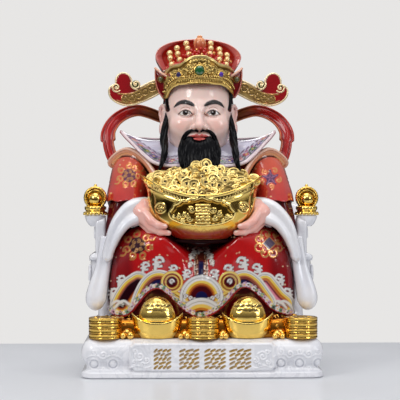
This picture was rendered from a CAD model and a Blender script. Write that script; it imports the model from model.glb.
import math
import bpy
import numpy as np
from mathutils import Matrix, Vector


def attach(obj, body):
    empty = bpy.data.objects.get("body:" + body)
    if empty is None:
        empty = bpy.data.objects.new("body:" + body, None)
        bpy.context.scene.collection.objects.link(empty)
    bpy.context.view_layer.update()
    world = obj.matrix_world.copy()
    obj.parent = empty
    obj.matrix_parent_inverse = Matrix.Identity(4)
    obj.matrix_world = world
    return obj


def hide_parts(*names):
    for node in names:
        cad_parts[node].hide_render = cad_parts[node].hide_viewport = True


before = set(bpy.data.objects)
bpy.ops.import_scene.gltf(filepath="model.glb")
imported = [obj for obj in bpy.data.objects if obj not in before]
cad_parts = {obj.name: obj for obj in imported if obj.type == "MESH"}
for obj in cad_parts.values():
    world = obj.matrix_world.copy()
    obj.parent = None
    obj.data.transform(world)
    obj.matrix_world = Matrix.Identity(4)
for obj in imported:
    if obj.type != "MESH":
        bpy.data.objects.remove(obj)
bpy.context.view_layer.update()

MM = 0.001
PI = math.pi
RNG = np.random.default_rng(7)


# ------------------------------------------------------------------ small maths
def smooth(t):
    t = np.clip(t, 0.0, 1.0)
    return t * t * (3 - 2 * t)


def step(a, b, t):
    return smooth((t - a) / (b - a))


def bell(d, w):
    return np.exp(-(d * d) / (w * w))


def mix(a, b, t):
    return a + (b - a) * t


def pchip(keys, t):
    """Smooth values through keys [[t, v...], ...] that never overshoot them."""
    k = np.asarray(keys, float)
    x, y = k[:, 0], k[:, 1:]
    t = np.clip(np.asarray(t, float), x[0], x[-1])
    h = np.diff(x)[:, None]
    s = np.diff(y, axis=0) / h
    m = np.zeros_like(y)
    a, b = s[:-1], s[1:]
    same = a * b > 0
    w1, w2 = 2 * h[1:] + h[:-1], h[1:] + 2 * h[:-1]
    with np.errstate(divide="ignore", invalid="ignore"):
        hm = (w1 + w2) / (w1 / a + w2 / b)
    m[1:-1] = np.where(same, hm, 0)
    m[0], m[-1] = s[0], s[-1]
    i = np.clip(np.searchsorted(x, t, side="right") - 1, 0, len(x) - 2)
    u = ((t - x[i]) / h[i, 0])[..., None]
    hh = h[i]
    out = (
        (2 * u**3 - 3 * u**2 + 1) * y[i]
        + (u**3 - 2 * u**2 + u) * hh * m[i]
        + (-2 * u**3 + 3 * u**2) * y[i + 1]
        + (u**3 - u**2) * hh * m[i + 1]
    )
    return out[..., 0] if y.shape[1] == 1 else out


def curve(points, n, closed=False):
    """n points at even spacing on a smooth curve through the given ones."""
    p = np.asarray(points, float)
    if closed:
        q = np.vstack([p[-1], p, p[0], p[1]])
    else:
        q = np.vstack([2 * p[0] - p[1], p, 2 * p[-1] - p[-2]])
    out = []
    for i in range(1, len(q) - 2):
        a, b, c, d = q[i - 1], q[i], q[i + 1], q[i + 2]
        u = np.linspace(0, 1, 24, endpoint=False)[:, None]
        out.append(0.5 * (2 * b + (c - a) * u + (2 * a - 5 * b + 4 * c - d) * u**2 + (3 * b - a - 3 * c + d) * u**3))
    line = np.vstack(out + [q[-2][None]])
    s = np.r_[0, np.cumsum(np.linalg.norm(np.diff(line, axis=0), axis=1))]
    t = np.linspace(0, s[-1], n + 1)[:-1] if closed else np.linspace(0, s[-1], n)
    return np.stack([np.interp(t, s, line[:, k]) for k in range(line.shape[1])], -1)


def unit(v):
    return v / np.maximum(np.linalg.norm(v, axis=-1, keepdims=True), 1e-12)


def _hash(i, j, k, seed):
    h = (i * 374761393 + j * 668265263 + k * 2147483647 + seed * 974634777) & 0xFFFFFFFF
    h = ((h ^ (h >> 13)) * 1274126177) & 0xFFFFFFFF
    return ((h ^ (h >> 16)) & 0xFFFF) / 32768.0 - 1


def grain(P, size, seed=0):
    """Smooth noise from -1 to 1 with lumps of about that size in mm."""
    q = np.asarray(P, float) / size
    f = np.floor(q).astype(np.int64)
    r = q - f
    r = r * r * (3 - 2 * r)
    v = 0
    for a in (0, 1):
        for b in (0, 1):
            for c in (0, 1):
                w = (r[..., 0] if a else 1 - r[..., 0]) * (r[..., 1] if b else 1 - r[..., 1]) * (r[..., 2] if c else 1 - r[..., 2])
                v = v + w * _hash(f[..., 0] + a, f[..., 1] + b, f[..., 2] + c, seed)
    return v


def srgb(r, g, b):
    c = np.array([r, g, b], float) / 255
    return tuple(np.where(c <= 0.04045, c / 12.92, ((c + 0.055) / 1.055) ** 2.4))


# ------------------------------------------------------------------ where things are seen from
CAM = np.array([-44.5, -1499.0, 197.0])
YAW = math.radians(1.677)
FPX = 1274.0  # focal length in picture units, for a picture 400 across
FWD = np.array([math.sin(YAW), math.cos(YAW), 0.0])
RIGHT = np.array([math.cos(YAW), -math.sin(YAW), 0.0])


def seen(P):
    """The picture position of points in mm."""
    d = np.asarray(P, float) - CAM
    w = d @ FWD
    return 200 + FPX * (d @ RIGHT) / w, 200 - FPX * d[..., 2] / w


def at(u, v, y):
    """The point at depth y that is seen at u, v."""
    d = FWD + (u - 200) / FPX * RIGHT + np.array([0, 0, (200 - v) / FPX])
    return CAM + d * (y - CAM[1]) / d[1]


def line_at(uvy):
    return np.array([at(*p) for p in uvy])


# ------------------------------------------------------------------ meshes
def lean(z):
    """The upper body's middle line, which drifts a little to the viewer's left as it rises."""
    return -3.2 * step(158, 268, np.asarray(z, float))


def across(V):
    """V as it is on the other side of the body's middle line."""
    V = np.asarray(V, float)
    return np.stack([2 * lean(V[..., 2]) - V[..., 0], V[..., 1], V[..., 2]], -1)


# share of the faces kept on pieces whose paint is plain, so that smooth parts aren't too dense
KEEP = {"coin_heap_gilt": 0.34, "tiara": 0.85, "bowl_gilt": 0.85, "beard": 0.37, "throne_body": 0.38, "sleeves_white": 0.36, "treasure_bed_gilt": 0.38, "shoulder_bands": 0.28, "hair": 0.42, "sash_glazed": 0.36, "hands": 0.5, "finial_gilt_left": 0.46, "finial_gilt_right": 0.46,
        "robe_body": 0.5, "crown": 0.6, "ingot_gilt_left": 0.5, "ingot_gilt_right": 0.5, "coin_stack_gilt_left": 0.48, "coin_stack_gilt_middle": 0.48, "coin_stack_gilt_right": 0.48, "hat_rims": 0.6, "pearl_stems": 0.6, "pearls": 0.8}


def thinned(o, share):
    """Leaves the object's mesh with that share of its faces, closest where it curves most."""
    m = o.modifiers.new("thin", "DECIMATE")
    m.ratio = share
    dg = bpy.context.evaluated_depsgraph_get()
    me = bpy.data.meshes.new_from_object(o.evaluated_get(dg), preserve_all_data_layers=True, depsgraph=dg)
    old = o.data
    o.modifiers.clear()
    o.data = me
    name = old.name
    bpy.data.meshes.remove(old)
    me.name = name
    return me


class Soup:
    """Closed shapes gathered into one mesh. Faces hold four corners, the last one -1 for a triangle."""

    def __init__(self):
        self.V, self.F, self.C, self.M, self.n = [], [], [], [], 0

    def add(self, shape, col=(1, 1, 1), gilt=0.0, mat=0, mirror=False, turn=True, lean_=True):
        V, F = shape
        V = np.asarray(V, float).reshape(-1, 3)
        F = np.asarray(F, np.int64)
        if turn and signed_volume(V, F) < 0:
            F = flipped(F)
        c = np.asarray(col, float)
        if c.ndim == 1:
            c = np.broadcast_to(c, (len(V), len(c)))
        if c.shape[1] == 3:
            g = np.broadcast_to(np.asarray(gilt, float), (len(V),))
            c = np.concatenate([c, g[:, None]], 1)
        self.V.append(V), self.F.append(np.where(F >= 0, F + self.n, -1)), self.C.append(c)
        self.M.append(np.full(len(F), mat))
        self.n += len(V)
        if mirror:
            self.add((across(V) if lean_ else V * [-1, 1, 1], flipped(F)), c, mat=mat, turn=False)
        return self

    def shape(self):
        return np.concatenate(self.V), np.concatenate(self.F)

    def build(self, name, mats, slot, nodes=(), sharp=38, shade=None, stage=False, dx=0.0):
        V, F, C, M = (np.concatenate(x) for x in (self.V, self.F, self.C, self.M))
        V = V + [dx, 0, 0]
        if shade:
            C = shade(V, C)
        quad = F[:, 3] >= 0
        loops = np.concatenate([F[quad].ravel(), F[~quad][:, :3].ravel()]).astype(np.int32)
        nq, nt = int(quad.sum()), int((~quad).sum())
        start = np.concatenate([np.arange(nq) * 4, nq * 4 + np.arange(nt) * 3]).astype(np.int32)
        me = bpy.data.meshes.new(name)
        me.vertices.add(len(V))
        me.vertices.foreach_set("co", (V * MM).astype(np.float32).ravel())
        me.loops.add(len(loops))
        me.loops.foreach_set("vertex_index", loops)
        me.polygons.add(nq + nt)
        me.polygons.foreach_set("loop_start", start)
        me.polygons.foreach_set("material_index", np.concatenate([M[quad], M[~quad]]).astype(np.int32))
        me.update(calc_edges=True)
        a = me.color_attributes.new("paint", "FLOAT_COLOR", "POINT")
        a.data.foreach_set("color", C.astype(np.float32).ravel())
        for m in mats if isinstance(mats, (list, tuple)) else [mats]:
            me.materials.append(m)
        o = bpy.data.objects.new(name, me)
        bpy.context.scene.collection.objects.link(o)
        if name in KEEP:
            me = thinned(o, KEEP[name])
        me.shade_smooth()
        if sharp:
            me.set_sharp_from_angle(angle=math.radians(sharp))
        if stage:
            return o
        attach(o, "root")
        if nodes:
            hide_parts(*nodes)
        print(f"{name}: {sum(len(p.vertices) - 2 for p in me.polygons)} triangles")
        return o


def signed_volume(V, F):
    V = V - V.mean(0)
    a, b, c = V[F[:, 0]], V[F[:, 1]], V[F[:, 2]]
    v = np.einsum("ij,ij->", a, np.cross(b, c))
    q = F[:, 3] >= 0
    d = V[F[q, 3]]
    return v + np.einsum("ij,ij->", a[q], np.cross(c[q], d))


def flipped(F):
    q = F[:, 3] >= 0
    out = F.copy()
    out[q] = F[q][:, [3, 2, 1, 0]]
    out[~q, 0], out[~q, 1], out[~q, 2] = F[~q, 2], F[~q, 1], F[~q, 0]
    return out


def normals(V, F):
    a = V[F[:, 0]]
    d = np.where((F[:, 3] >= 0)[:, None], V[F[:, 3]], V[F[:, 2]])
    n = np.cross(V[F[:, 2]] - a, d - V[F[:, 1]])
    n2 = np.cross(V[F[:, 1]] - a, V[F[:, 2]] - a)
    n = np.where((F[:, 3] >= 0)[:, None], n, n2)
    out = np.zeros_like(V)
    for k in range(4):
        ok = F[:, k] >= 0
        for c in range(3):
            out[:, c] += np.bincount(F[ok, k], n[ok, c], len(V))
    return unit(out)


def join(*shapes):
    V, F, n = [], [], 0
    for v, f in shapes:
        V.append(v), F.append(np.where(f >= 0, f + n, -1))
        n += len(v)
    return np.concatenate(V), np.concatenate(F)


def loft(R, closed=True, caps=True):
    """A skin over rings of points, R[row, point]. Closed rings get a fan at each end."""
    R = np.asarray(R, float)
    m, n = R.shape[:2]
    i = np.arange(m * n).reshape(m, n)
    j = np.roll(i, -1, 1) if closed else None
    if closed:
        F = np.stack([i[:-1], j[:-1], j[1:], i[1:]], -1).reshape(-1, 4)
    else:
        F = np.stack([i[:-1, :-1], i[:-1, 1:], i[1:, 1:], i[1:, :-1]], -1).reshape(-1, 4)
    V = R.reshape(-1, 3)
    if closed and caps:
        k = m * n
        V = np.vstack([V, R[0].mean(0), R[-1].mean(0)])
        e = np.full(n, -1)
        F = np.vstack([F, np.stack([j[0], i[0], np.full(n, k), e], -1), np.stack([i[-1], j[-1], np.full(n, k + 1), e], -1)])
    return V, F


def torus_loft(R):
    """A skin over rings whose last row joins the first."""
    R = np.asarray(R, float)
    m, n = R.shape[:2]
    i = np.arange(m * n).reshape(m, n)
    j, k = np.roll(i, -1, 1), np.roll(i, -1, 0)
    jk = np.roll(j, -1, 0)
    return R.reshape(-1, 3), np.stack([i, j, jk, k], -1).reshape(-1, 4)


def slab(G, thick, wrap=False):
    """A sheet G[row, column] given a thickness against its normals. thick may vary over it."""
    G = np.asarray(G, float)
    m, n = G.shape[:2]
    V, F = loft(G, closed=wrap, caps=False)
    N = normals(V, F)
    t = np.broadcast_to(np.asarray(thick, float), (m, n)).reshape(-1, 1)
    B = V - N * t
    k = m * n
    i = np.arange(k).reshape(m, n)
    edges = []

    def strip(a):
        edges.append(np.stack([a[:-1], a[1:], a[1:] + k, a[:-1] + k], -1))

    if wrap:
        strip(np.r_[i[0], i[0, 0]][::-1])
        strip(np.r_[i[-1], i[-1, 0]])
    else:
        strip(i[0][::-1]), strip(i[-1]), strip(i[:, 0]), strip(i[:, -1][::-1])
    return np.vstack([V, B]), np.vstack([F, flipped(F) + k, *edges])


def frames(P, side=None, closed=False):
    """Two unit directions across a path at each point. side gives a direction to keep close to."""
    if closed:
        T = unit(np.roll(P, -1, 0) - np.roll(P, 1, 0))
    else:
        T = unit(np.gradient(P, axis=0))
    if side is not None:
        s = np.broadcast_to(np.asarray(side, float), P.shape)
        U = unit(np.cross(s, T))
        return U, unit(np.cross(T, U))
    U = np.zeros_like(P)
    a = np.array([0, 0, 1.0]) if abs(T[0, 2]) < 0.9 else np.array([1.0, 0, 0])
    u = np.cross(a, T[0])
    for i in range(len(P)):
        u = u - T[i] * (u @ T[i])
        u = u / max(np.linalg.norm(u), 1e-9)
        U[i] = u
    return U, np.cross(T, U)


def sweep(P, S, side=None, closed=False, caps=True):
    """Section S[(row,) point, (across, over)] carried along the path P."""
    P = np.asarray(P, float)
    U, W = frames(P, side, closed)
    S = np.asarray(S, float)
    if S.ndim == 2:
        S = np.broadcast_to(S, (len(P),) + S.shape)
    R = P[:, None] + S[..., :1] * U[:, None] + S[..., 1:] * W[:, None]
    return torus_loft(R) if closed else loft(R, caps=caps)


def circle(n, turn=0.0):
    a = np.arange(n) / n * 2 * PI + turn
    return np.stack([np.cos(a), np.sin(a)], -1)


def tube(P, r, n=8, side=None, closed=False, ends=True):
    """A round tube. r may vary along it; its ends are rounded."""
    P = np.asarray(P, float)
    r = np.broadcast_to(np.asarray(r, float), (len(P),)).copy()
    if not closed and ends:
        d0, d1 = unit(P[0] - P[1]), unit(P[-1] - P[-2])
        e = np.array([1.0, 0.92, 0.6])
        a = P[0] + d0 * (r[0] * e)[:, None]
        b = P[-1] + d1 * (r[-1] * e[::-1])[:, None]
        P = np.vstack([a, P, b])
        k = np.array([0.08, 0.42, 0.8])
        r = np.r_[r[0] * k, r, r[-1] * k[::-1]]
    return sweep(P, circle(n)[None] * r[:, None, None], side, closed)


def lathe(profile, n=48, centre=(0, 0, 0), squash=1.0, wave=None):
    """profile is (radius, height) pairs from one end on the axis to the other."""
    p = np.asarray(profile, float)
    a = np.arange(n) / n * 2 * PI
    r = p[:, :1] * (1 + (wave(a[None], p[:, 1:2]) if wave else 0 * a[None]))
    x, y = r * np.cos(a), r * np.sin(a) * squash
    R = np.stack([x, y, np.broadcast_to(p[:, 1:], x.shape)], -1)
    return loft(R + np.asarray(centre, float))


def egg(c, r, n=16, m=10, axes=None):
    """An ellipsoid at c with radii r."""
    t = np.linspace(0, PI, m + 1)[1:-1]
    a = np.arange(n) / n * 2 * PI
    R = np.stack([np.sin(t)[:, None] * np.cos(a), np.sin(t)[:, None] * np.sin(a), np.repeat(np.cos(t)[:, None], n, 1)], -1)
    V, F = loft(R)
    V[-2], V[-1] = (0, 0, 1), (0, 0, -1)
    V = V * np.asarray(r, float)
    if axes is not None:
        V = V @ np.asarray(axes, float)
    return V + np.asarray(c, float), F


def placed(shape, x=0, y=0, z=0, rx=0, ry=0, rz=0, s=1.0):
    V, F = shape
    V = V * s
    for ang, i, j in ((rx, 1, 2), (ry, 2, 0), (rz, 0, 1)):
        if ang:
            c, q = math.cos(ang), math.sin(ang)
            a, b = V[:, i].copy(), V[:, j].copy()
            V = V.copy()
            V[:, i], V[:, j] = a * c - b * q, a * q + b * c
    return V + np.array([x, y, z], float), F


def superloop(n, e, a=1.0, b=1.0):
    """Evenly spaced points on a rounded rectangle-like loop of half sizes a, b, from +X, counterclockwise."""
    t = np.linspace(0, 2 * PI, 4001)
    c, s = np.cos(t), np.sin(t)
    x, y = np.sign(c) * np.abs(c) ** (2 / e), np.sign(s) * np.abs(s) ** (2 / e)
    d = np.r_[0, np.cumsum(np.hypot(np.diff(x * a), np.diff(y * b)))]
    q = np.linspace(0, d[-1], n + 1)[:-1]
    return np.interp(q, d, x), np.interp(q, d, y)


# ------------------------------------------------------------------ smooth blends of solids
def cone_d(P, a, b, ra, rb):
    """Distance to a limb from a to b whose radius runs from ra to rb."""
    a, b = np.asarray(a, float), np.asarray(b, float)
    d = b - a
    h = np.clip(((P - a) @ d) / (d @ d), 0, 1)
    return np.linalg.norm(P - a - h[..., None] * d, axis=-1) - mix(ra, rb, h)


def egg_d(P, c, r):
    q = (P - np.asarray(c, float)) / np.asarray(r, float)
    k = np.linalg.norm(q, axis=-1)
    g = np.linalg.norm(q / np.asarray(r, float), axis=-1)
    return k * (k - 1) / np.maximum(g, 1e-6)


def melt(a, b, k):
    h = np.clip(0.5 + 0.5 * (b - a) / k, 0, 1)
    return b + (a - b) * h - k * h * (1 - h)


def carve(a, b, k):
    return -melt(-a, b, k)


def skin_of(f, lo, hi, h, fix=2):
    """A mesh of the surface f = 0 in a box, with cells of side h."""
    ax = [np.arange(lo[i], hi[i] + h, h) for i in range(3)]
    G = np.stack(np.meshgrid(*ax, indexing="ij"), -1)
    D = np.empty(G.shape[:3])
    for i in range(0, G.shape[0], 16):
        D[i : i + 16] = f(G[i : i + 16])
    s = D < 0
    nx, ny, nz = (k - 1 for k in D.shape)
    total, count = np.zeros((nx, ny, nz, 3)), np.zeros((nx, ny, nz))
    for ax_ in range(3):
        o = np.eye(3, dtype=int)[ax_]
        A = D[: D.shape[0] - o[0], : D.shape[1] - o[1], : D.shape[2] - o[2]]
        B = D[o[0] :, o[1] :, o[2] :]
        cross = (A < 0) != (B < 0)
        t = np.where(cross, A / np.where(cross, A - B, 1), 0)
        others = [k for k in range(3) if k != ax_]
        for p in (0, 1):
            for q in (0, 1):
                sl = [slice(0, nx), slice(0, ny), slice(0, nz)]
                sh = [0, 0, 0]
                sh[others[0]], sh[others[1]] = p, q
                sl = tuple(slice(sh[k], sh[k] + (nx, ny, nz)[k]) for k in range(3))
                c, tt = cross[sl], t[sl]
                count += c
                for k in range(3):
                    total[..., k] += np.where(c, tt if k == ax_ else sh[k], 0)
    live = count > 0
    ids = np.full(live.shape, -1)
    ids[live] = np.arange(live.sum())
    cell = np.argwhere(live)
    V = (cell + total[live] / count[live][:, None]) * h + np.asarray(lo, float)
    quads = []
    for ax_ in range(3):
        o = np.eye(3, dtype=int)[ax_]
        A = s[: s.shape[0] - o[0], : s.shape[1] - o[1], : s.shape[2] - o[2]]
        B = s[o[0] :, o[1] :, o[2] :]
        e = np.argwhere(A != B)
        b, c = [(1, 2), (2, 0), (0, 1)][ax_]
        ok = (e[:, b] > 0) & (e[:, c] > 0) & (e[:, b] < (nx, ny, nz)[b]) & (e[:, c] < (nx, ny, nz)[c])
        e = e[ok]
        eb, ec = np.eye(3, dtype=int)[b], np.eye(3, dtype=int)[c]
        q = np.stack([ids[tuple((e - eb - ec).T)], ids[tuple((e - ec).T)], ids[tuple(e.T)], ids[tuple((e - eb).T)]], -1)
        inside = A[tuple(e.T)]
        quads.append(np.where(inside[:, None], q, q[:, ::-1]))
    F = np.concatenate(quads)
    for _ in range(fix):
        e = h * 0.25
        d = f(V[:, None])[:, 0]
        g = np.stack([f((V + e * np.eye(3)[k])[:, None])[:, 0] - d for k in range(3)], -1) / e
        V = V - (d / np.maximum((g * g).sum(1), 0.05))[:, None] * g * 0.9
    return V, F


# ------------------------------------------------------------------ painting
class Brush:
    """Colours (with a gilt share as fourth value) and relief on points, laid on in picture positions."""

    def __init__(self, U, V, base):
        self.U, self.V = U, V
        self.c = np.array(np.broadcast_to(np.r_[base, 0.0] if len(np.shape(base)) == 1 else base, (len(U), 4)), float)
        self.h = np.zeros(len(U))

    def put(self, mask, col, gilt=0.0, lift=None):
        m = np.clip(mask, 0, 1)
        on = m > 0.002
        if not on.any():
            return
        k = m[on][:, None]
        self.c[on] = self.c[on] * (1 - k) + np.r_[col, gilt] * k
        if lift is not None:
            self.h[on] = self.h[on] * (1 - k[:, 0]) + lift * k[:, 0]

    def to(self, poly, reach=16.0):
        """Distance to a polyline in picture units, up to reach, and the share of its length there."""
        p = np.asarray(poly, float)
        d = np.full(len(self.U), 99.0)
        s = np.zeros(len(self.U))
        lo, hi = p.min(0) - reach, p.max(0) + reach
        on = np.flatnonzero((self.U > lo[0]) & (self.U < hi[0]) & (self.V > lo[1]) & (self.V < hi[1]))
        if not len(on):
            return d, s
        q = np.stack([self.U[on], self.V[on]], -1)
        L = np.r_[0, np.cumsum(np.linalg.norm(np.diff(p, axis=0), axis=1))]
        best, bs = np.full(len(on), 99.0), np.zeros(len(on))
        for i in range(len(p) - 1):
            a, e = p[i], p[i + 1] - p[i]
            t = np.clip(((q - a) @ e) / max(e @ e, 1e-9), 0, 1)
            r = np.linalg.norm(q - a - t[:, None] * e, axis=1)
            near = r < best
            best[near] = r[near]
            bs[near] = (L[i] + t[near] * (L[i + 1] - L[i])) / L[-1]
        d[on], s[on] = best, bs
        return d, s

    def line(self, poly, width, col, gilt=0.0, lift=None, soft=0.45, n=0):
        p = curve(poly, n) if n else poly
        d, _ = self.to(p, width + 2)
        self.put(1 - step(width / 2 - soft / 2, width / 2 + soft, d), col, gilt, lift)

    def disc(self, u, v, r, col, gilt=0.0, lift=None, soft=0.45, flat=1.0):
        d = np.hypot(self.U - u, (self.V - v) / flat)
        self.put(1 - step(r - soft / 2, r + soft, d), col, gilt, lift)

    def ring(self, u, v, r, w, col, gilt=0.0, lift=None, soft=0.45, flat=1.0):
        d = np.abs(np.hypot(self.U - u, (self.V - v) / flat) - r)
        self.put(1 - step(w / 2 - soft / 2, w / 2 + soft, d), col, gilt, lift)


def spiral(u, v, r0, r1, turns, start=0.0, n=40, hand=1):
    t = np.linspace(0, 1, n)
    a = start + hand * t * turns * 2 * PI
    r = mix(r0, r1, t)
    return np.stack([u + r * np.cos(a), v + r * np.sin(a)], -1)


# ------------------------------------------------------------------ materials
def material(name, base=None, rough=0.2, metal=0.0, coat=0.0, coat_rough=0.05, spec=0.5, tint=None, var=0.1, size=60.0,
             rvar=0.06, rsize=140.0, bump=0.0, bsize=500.0, sss=0.0, gilt_rough=0.22, ior=1.5, veins=None, dim=0.0):
    """A glaze, gilt or stone material. Without base, the colour comes from the painted vertices,
    whose fourth value turns glaze into gilt. var and rvar are how far colour and shine wander."""
    m = bpy.data.materials.new(name)
    m.use_nodes = True
    nt = m.node_tree
    nt.nodes.clear()
    out = nt.nodes.new("ShaderNodeOutputMaterial")
    p = nt.nodes.new("ShaderNodeBsdfPrincipled")
    nt.links.new(p.outputs[0], out.inputs[0])
    co = nt.nodes.new("ShaderNodeTexCoord").outputs["Object"]

    def noise(scale, detail=4.0, rough_=0.6, warp=0.0):
        n = nt.nodes.new("ShaderNodeTexNoise")
        n.inputs["Scale"].default_value = scale
        n.inputs["Detail"].default_value = detail
        n.inputs["Roughness"].default_value = rough_
        n.inputs["Distortion"].default_value = warp
        nt.links.new(co, n.inputs["Vector"])
        return n.outputs["Fac"]

    def spread(x, a, b, lo=0.0, hi=1.0):
        r = nt.nodes.new("ShaderNodeMapRange")
        for i, v in zip(("From Min", "From Max", "To Min", "To Max"), (lo, hi, a, b)):
            r.inputs[i].default_value = v
        nt.links.new(x, r.inputs["Value"])
        return r.outputs["Result"]

    def blend(kind, fac, a, b):
        x = nt.nodes.new("ShaderNodeMix")
        x.data_type, x.blend_type = "RGBA", kind
        for sock, v in ((x.inputs[0], fac), (x.inputs[6], a), (x.inputs[7], b)):
            if isinstance(v, (int, float)):
                sock.default_value = v
            elif isinstance(v, (tuple, list)):
                sock.default_value = (*v[:3], 1)
            else:
                nt.links.new(v, sock)
        return x.outputs[2]

    if base is None:
        at_ = nt.nodes.new("ShaderNodeAttribute")
        at_.attribute_name = "paint"
        colour, gilt = at_.outputs["Color"], at_.outputs["Alpha"]
    else:
        rgb = nt.nodes.new("ShaderNodeRGB")
        rgb.outputs[0].default_value = (*base, 1)
        colour, gilt = rgb.outputs[0], None
    wander = spread(noise(size, 5.0), 1 - var, 1 + var, 0.25, 0.75)
    vec = nt.nodes.new("ShaderNodeCombineColor")
    for i in range(3):
        nt.links.new(wander, vec.inputs[i])
    colour = blend("MULTIPLY", 1.0, colour, vec.outputs[0])
    if tint is not None:
        colour = blend("MIX", spread(noise(size * 0.35, 3.0), 0.0, tint[1], 0.45, 0.75), colour, tuple(tint[0]))
    if veins is not None:
        v = noise(veins[2], 6.0, 0.62, 1.6)
        ab = nt.nodes.new("ShaderNodeMath")
        ab.operation = "ABSOLUTE"
        nt.links.new(spread(v, -1, 1), ab.inputs[0])
        colour = blend("MIX", spread(ab.outputs[0], veins[1], 0.0, 0.0, 0.10), colour, tuple(veins[0]))
    nt.links.new(colour, p.inputs["Base Color"])
    r = spread(noise(rsize, 4.0), rough - rvar, rough + rvar, 0.25, 0.75)
    if gilt is not None:
        x = nt.nodes.new("ShaderNodeMix")
        nt.links.new(gilt, x.inputs[0])
        nt.links.new(r, x.inputs[2])
        x.inputs[3].default_value = gilt_rough
        r = x.outputs[0]
        nt.links.new(gilt, p.inputs["Metallic"])
    else:
        p.inputs["Metallic"].default_value = metal
    nt.links.new(r, p.inputs["Roughness"])
    p.inputs["IOR"].default_value = ior
    p.inputs["Specular IOR Level"].default_value = spec
    p.inputs["Coat Weight"].default_value = coat
    if dim:
        # dark strokes are duller than the bright glaze round them
        grey = nt.nodes.new("ShaderNodeRGBToBW")
        nt.links.new(colour, grey.inputs[0])
        nt.links.new(spread(grey.outputs[0], 0.12 * coat, coat, 0.25 * dim, dim), p.inputs["Coat Weight"])
        nt.links.new(spread(grey.outputs[0], 0.25 * spec, spec, 0.25 * dim, dim), p.inputs["Specular IOR Level"])
    p.inputs["Coat Roughness"].default_value = coat_rough
    if sss:
        p.inputs["Subsurface Weight"].default_value = sss
        p.inputs["Subsurface Radius"].default_value = (1.0, 0.45, 0.3)
        p.inputs["Subsurface Scale"].default_value = 0.004
    if bump:
        b = nt.nodes.new("ShaderNodeBump")
        b.inputs["Strength"].default_value = 1.0
        b.inputs["Distance"].default_value = bump * MM
        nt.links.new(noise(bsize, 3.0), b.inputs["Height"])
        nt.links.new(b.outputs[0], p.inputs["Normal"])
    return m


RED = srgb(178, 14, 22)
RED_DEEP = srgb(120, 6, 14)
RED_WARM = srgb(196, 52, 34)
WHITE = srgb(238, 238, 242)
GOLD = srgb(240, 204, 108)
GOLD_DARK = srgb(120, 74, 16)
PEACH = srgb(226, 160, 132)
BLACK = srgb(5, 5, 9)
SKIN = srgb(252, 220, 210)

M_white = material("white_glaze", rough=0.16, coat=0.5, coat_rough=0.04, var=0.035, size=40, rvar=0.05, bump=0.05, bsize=260, tint=(srgb(214, 218, 228), 0.35))
M_stone = material("white_stone", rough=0.24, coat=0.25, coat_rough=0.08, var=0.04, size=60, rvar=0.07, bump=0.06, bsize=300, veins=(srgb(196, 198, 206), 0.35, 22.0))
M_enamel = material("red_enamel", rough=0.13, coat=0.55, coat_rough=0.03, spec=0.42, var=0.10, size=50, rvar=0.04, bump=0.06, bsize=180, gilt_rough=0.25, dim=0.045)
M_gold = material("bright_gold", rough=0.13, var=0.06, size=90, rvar=0.05, bump=0.10, bsize=260, gilt_rough=0.13)
M_antique = material("antique_gold", rough=0.34, var=0.16, size=160, rvar=0.1, bump=0.12, bsize=500, gilt_rough=0.30)
M_skin = material("skin_glaze", rough=0.22, coat=0.35, coat_rough=0.08, var=0.04, size=50, rvar=0.05, bump=0.03, bsize=260, sss=0.15)
M_black = material("black_glaze", rough=0.10, coat=0.0, coat_rough=0.06, spec=0.12, var=0.2, size=200, rvar=0.04, bump=0.02, bsize=400)
M_gem = material("gem", rough=0.05, coat=1.0, coat_rough=0.02, var=0.35, size=320, rvar=0.02, spec=0.8)
M_pearl = material("pearl", rough=0.2, gilt_rough=0.28, coat=0.6, coat_rough=0.08, var=0.08, size=260, rvar=0.05)


# ------------------------------------------------------------------ camera, light, floor
scene = bpy.context.scene
cam_data = bpy.data.cameras.new("camera")
cam_data.sensor_width = 36
cam_data.lens = 36 * FPX / 400
cam_data.dof.use_dof = False
cam_data.clip_start, cam_data.clip_end = 0.05, 30
camera = bpy.data.objects.new("camera", cam_data)
camera.location = Vector(CAM * MM)
camera.rotation_euler = (PI / 2, 0, -YAW)
scene.collection.objects.link(camera)
scene.camera = camera

world = bpy.data.worlds.new("studio")
scene.world = world
world.use_nodes = True
wt = world.node_tree
wt.nodes.clear()
w_out = wt.nodes.new("ShaderNodeOutputWorld")
w_mix = wt.nodes.new("ShaderNodeMixShader")
w_path = wt.nodes.new("ShaderNodeLightPath")
w_seen = wt.nodes.new("ShaderNodeBackground")
w_seen.inputs["Color"].default_value = (0.80, 0.79, 0.78, 1)
w_seen.inputs["Strength"].default_value = 1.0
w_lit = wt.nodes.new("ShaderNodeBackground")
w_lit.inputs["Strength"].default_value = 1.0
w_co = wt.nodes.new("ShaderNodeTexCoord")
w_sep = wt.nodes.new("ShaderNodeSeparateXYZ")
w_ramp = wt.nodes.new("ShaderNodeValToRGB")
w_map = wt.nodes.new("ShaderNodeMapRange")
for key, v in (("From Min", -1.0), ("From Max", 1.0), ("To Min", 0.0), ("To Max", 1.0)):
    w_map.inputs[key].default_value = v
wt.links.new(w_co.outputs["Generated"], w_sep.inputs[0])
wt.links.new(w_sep.outputs["Z"], w_map.inputs["Value"])
wt.links.new(w_map.outputs["Result"], w_ramp.inputs[0])
w_ramp.color_ramp.elements[0].position = 0.0
w_ramp.color_ramp.elements[0].color = (0.12, 0.11, 0.11, 1)
w_ramp.color_ramp.elements[1].position = 1.0
w_ramp.color_ramp.elements[1].color = (0.85, 0.86, 0.88, 1)
for pos, col in ((0.44, (0.07, 0.062, 0.06, 1)), (0.56, (0.13, 0.12, 0.12, 1)), (0.72, (0.46, 0.46, 0.48, 1))):
    e = w_ramp.color_ramp.elements.new(pos)
    e.color = col
wt.links.new(w_ramp.outputs[0], w_lit.inputs["Color"])
wt.links.new(w_path.outputs["Is Camera Ray"], w_mix.inputs[0])
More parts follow.
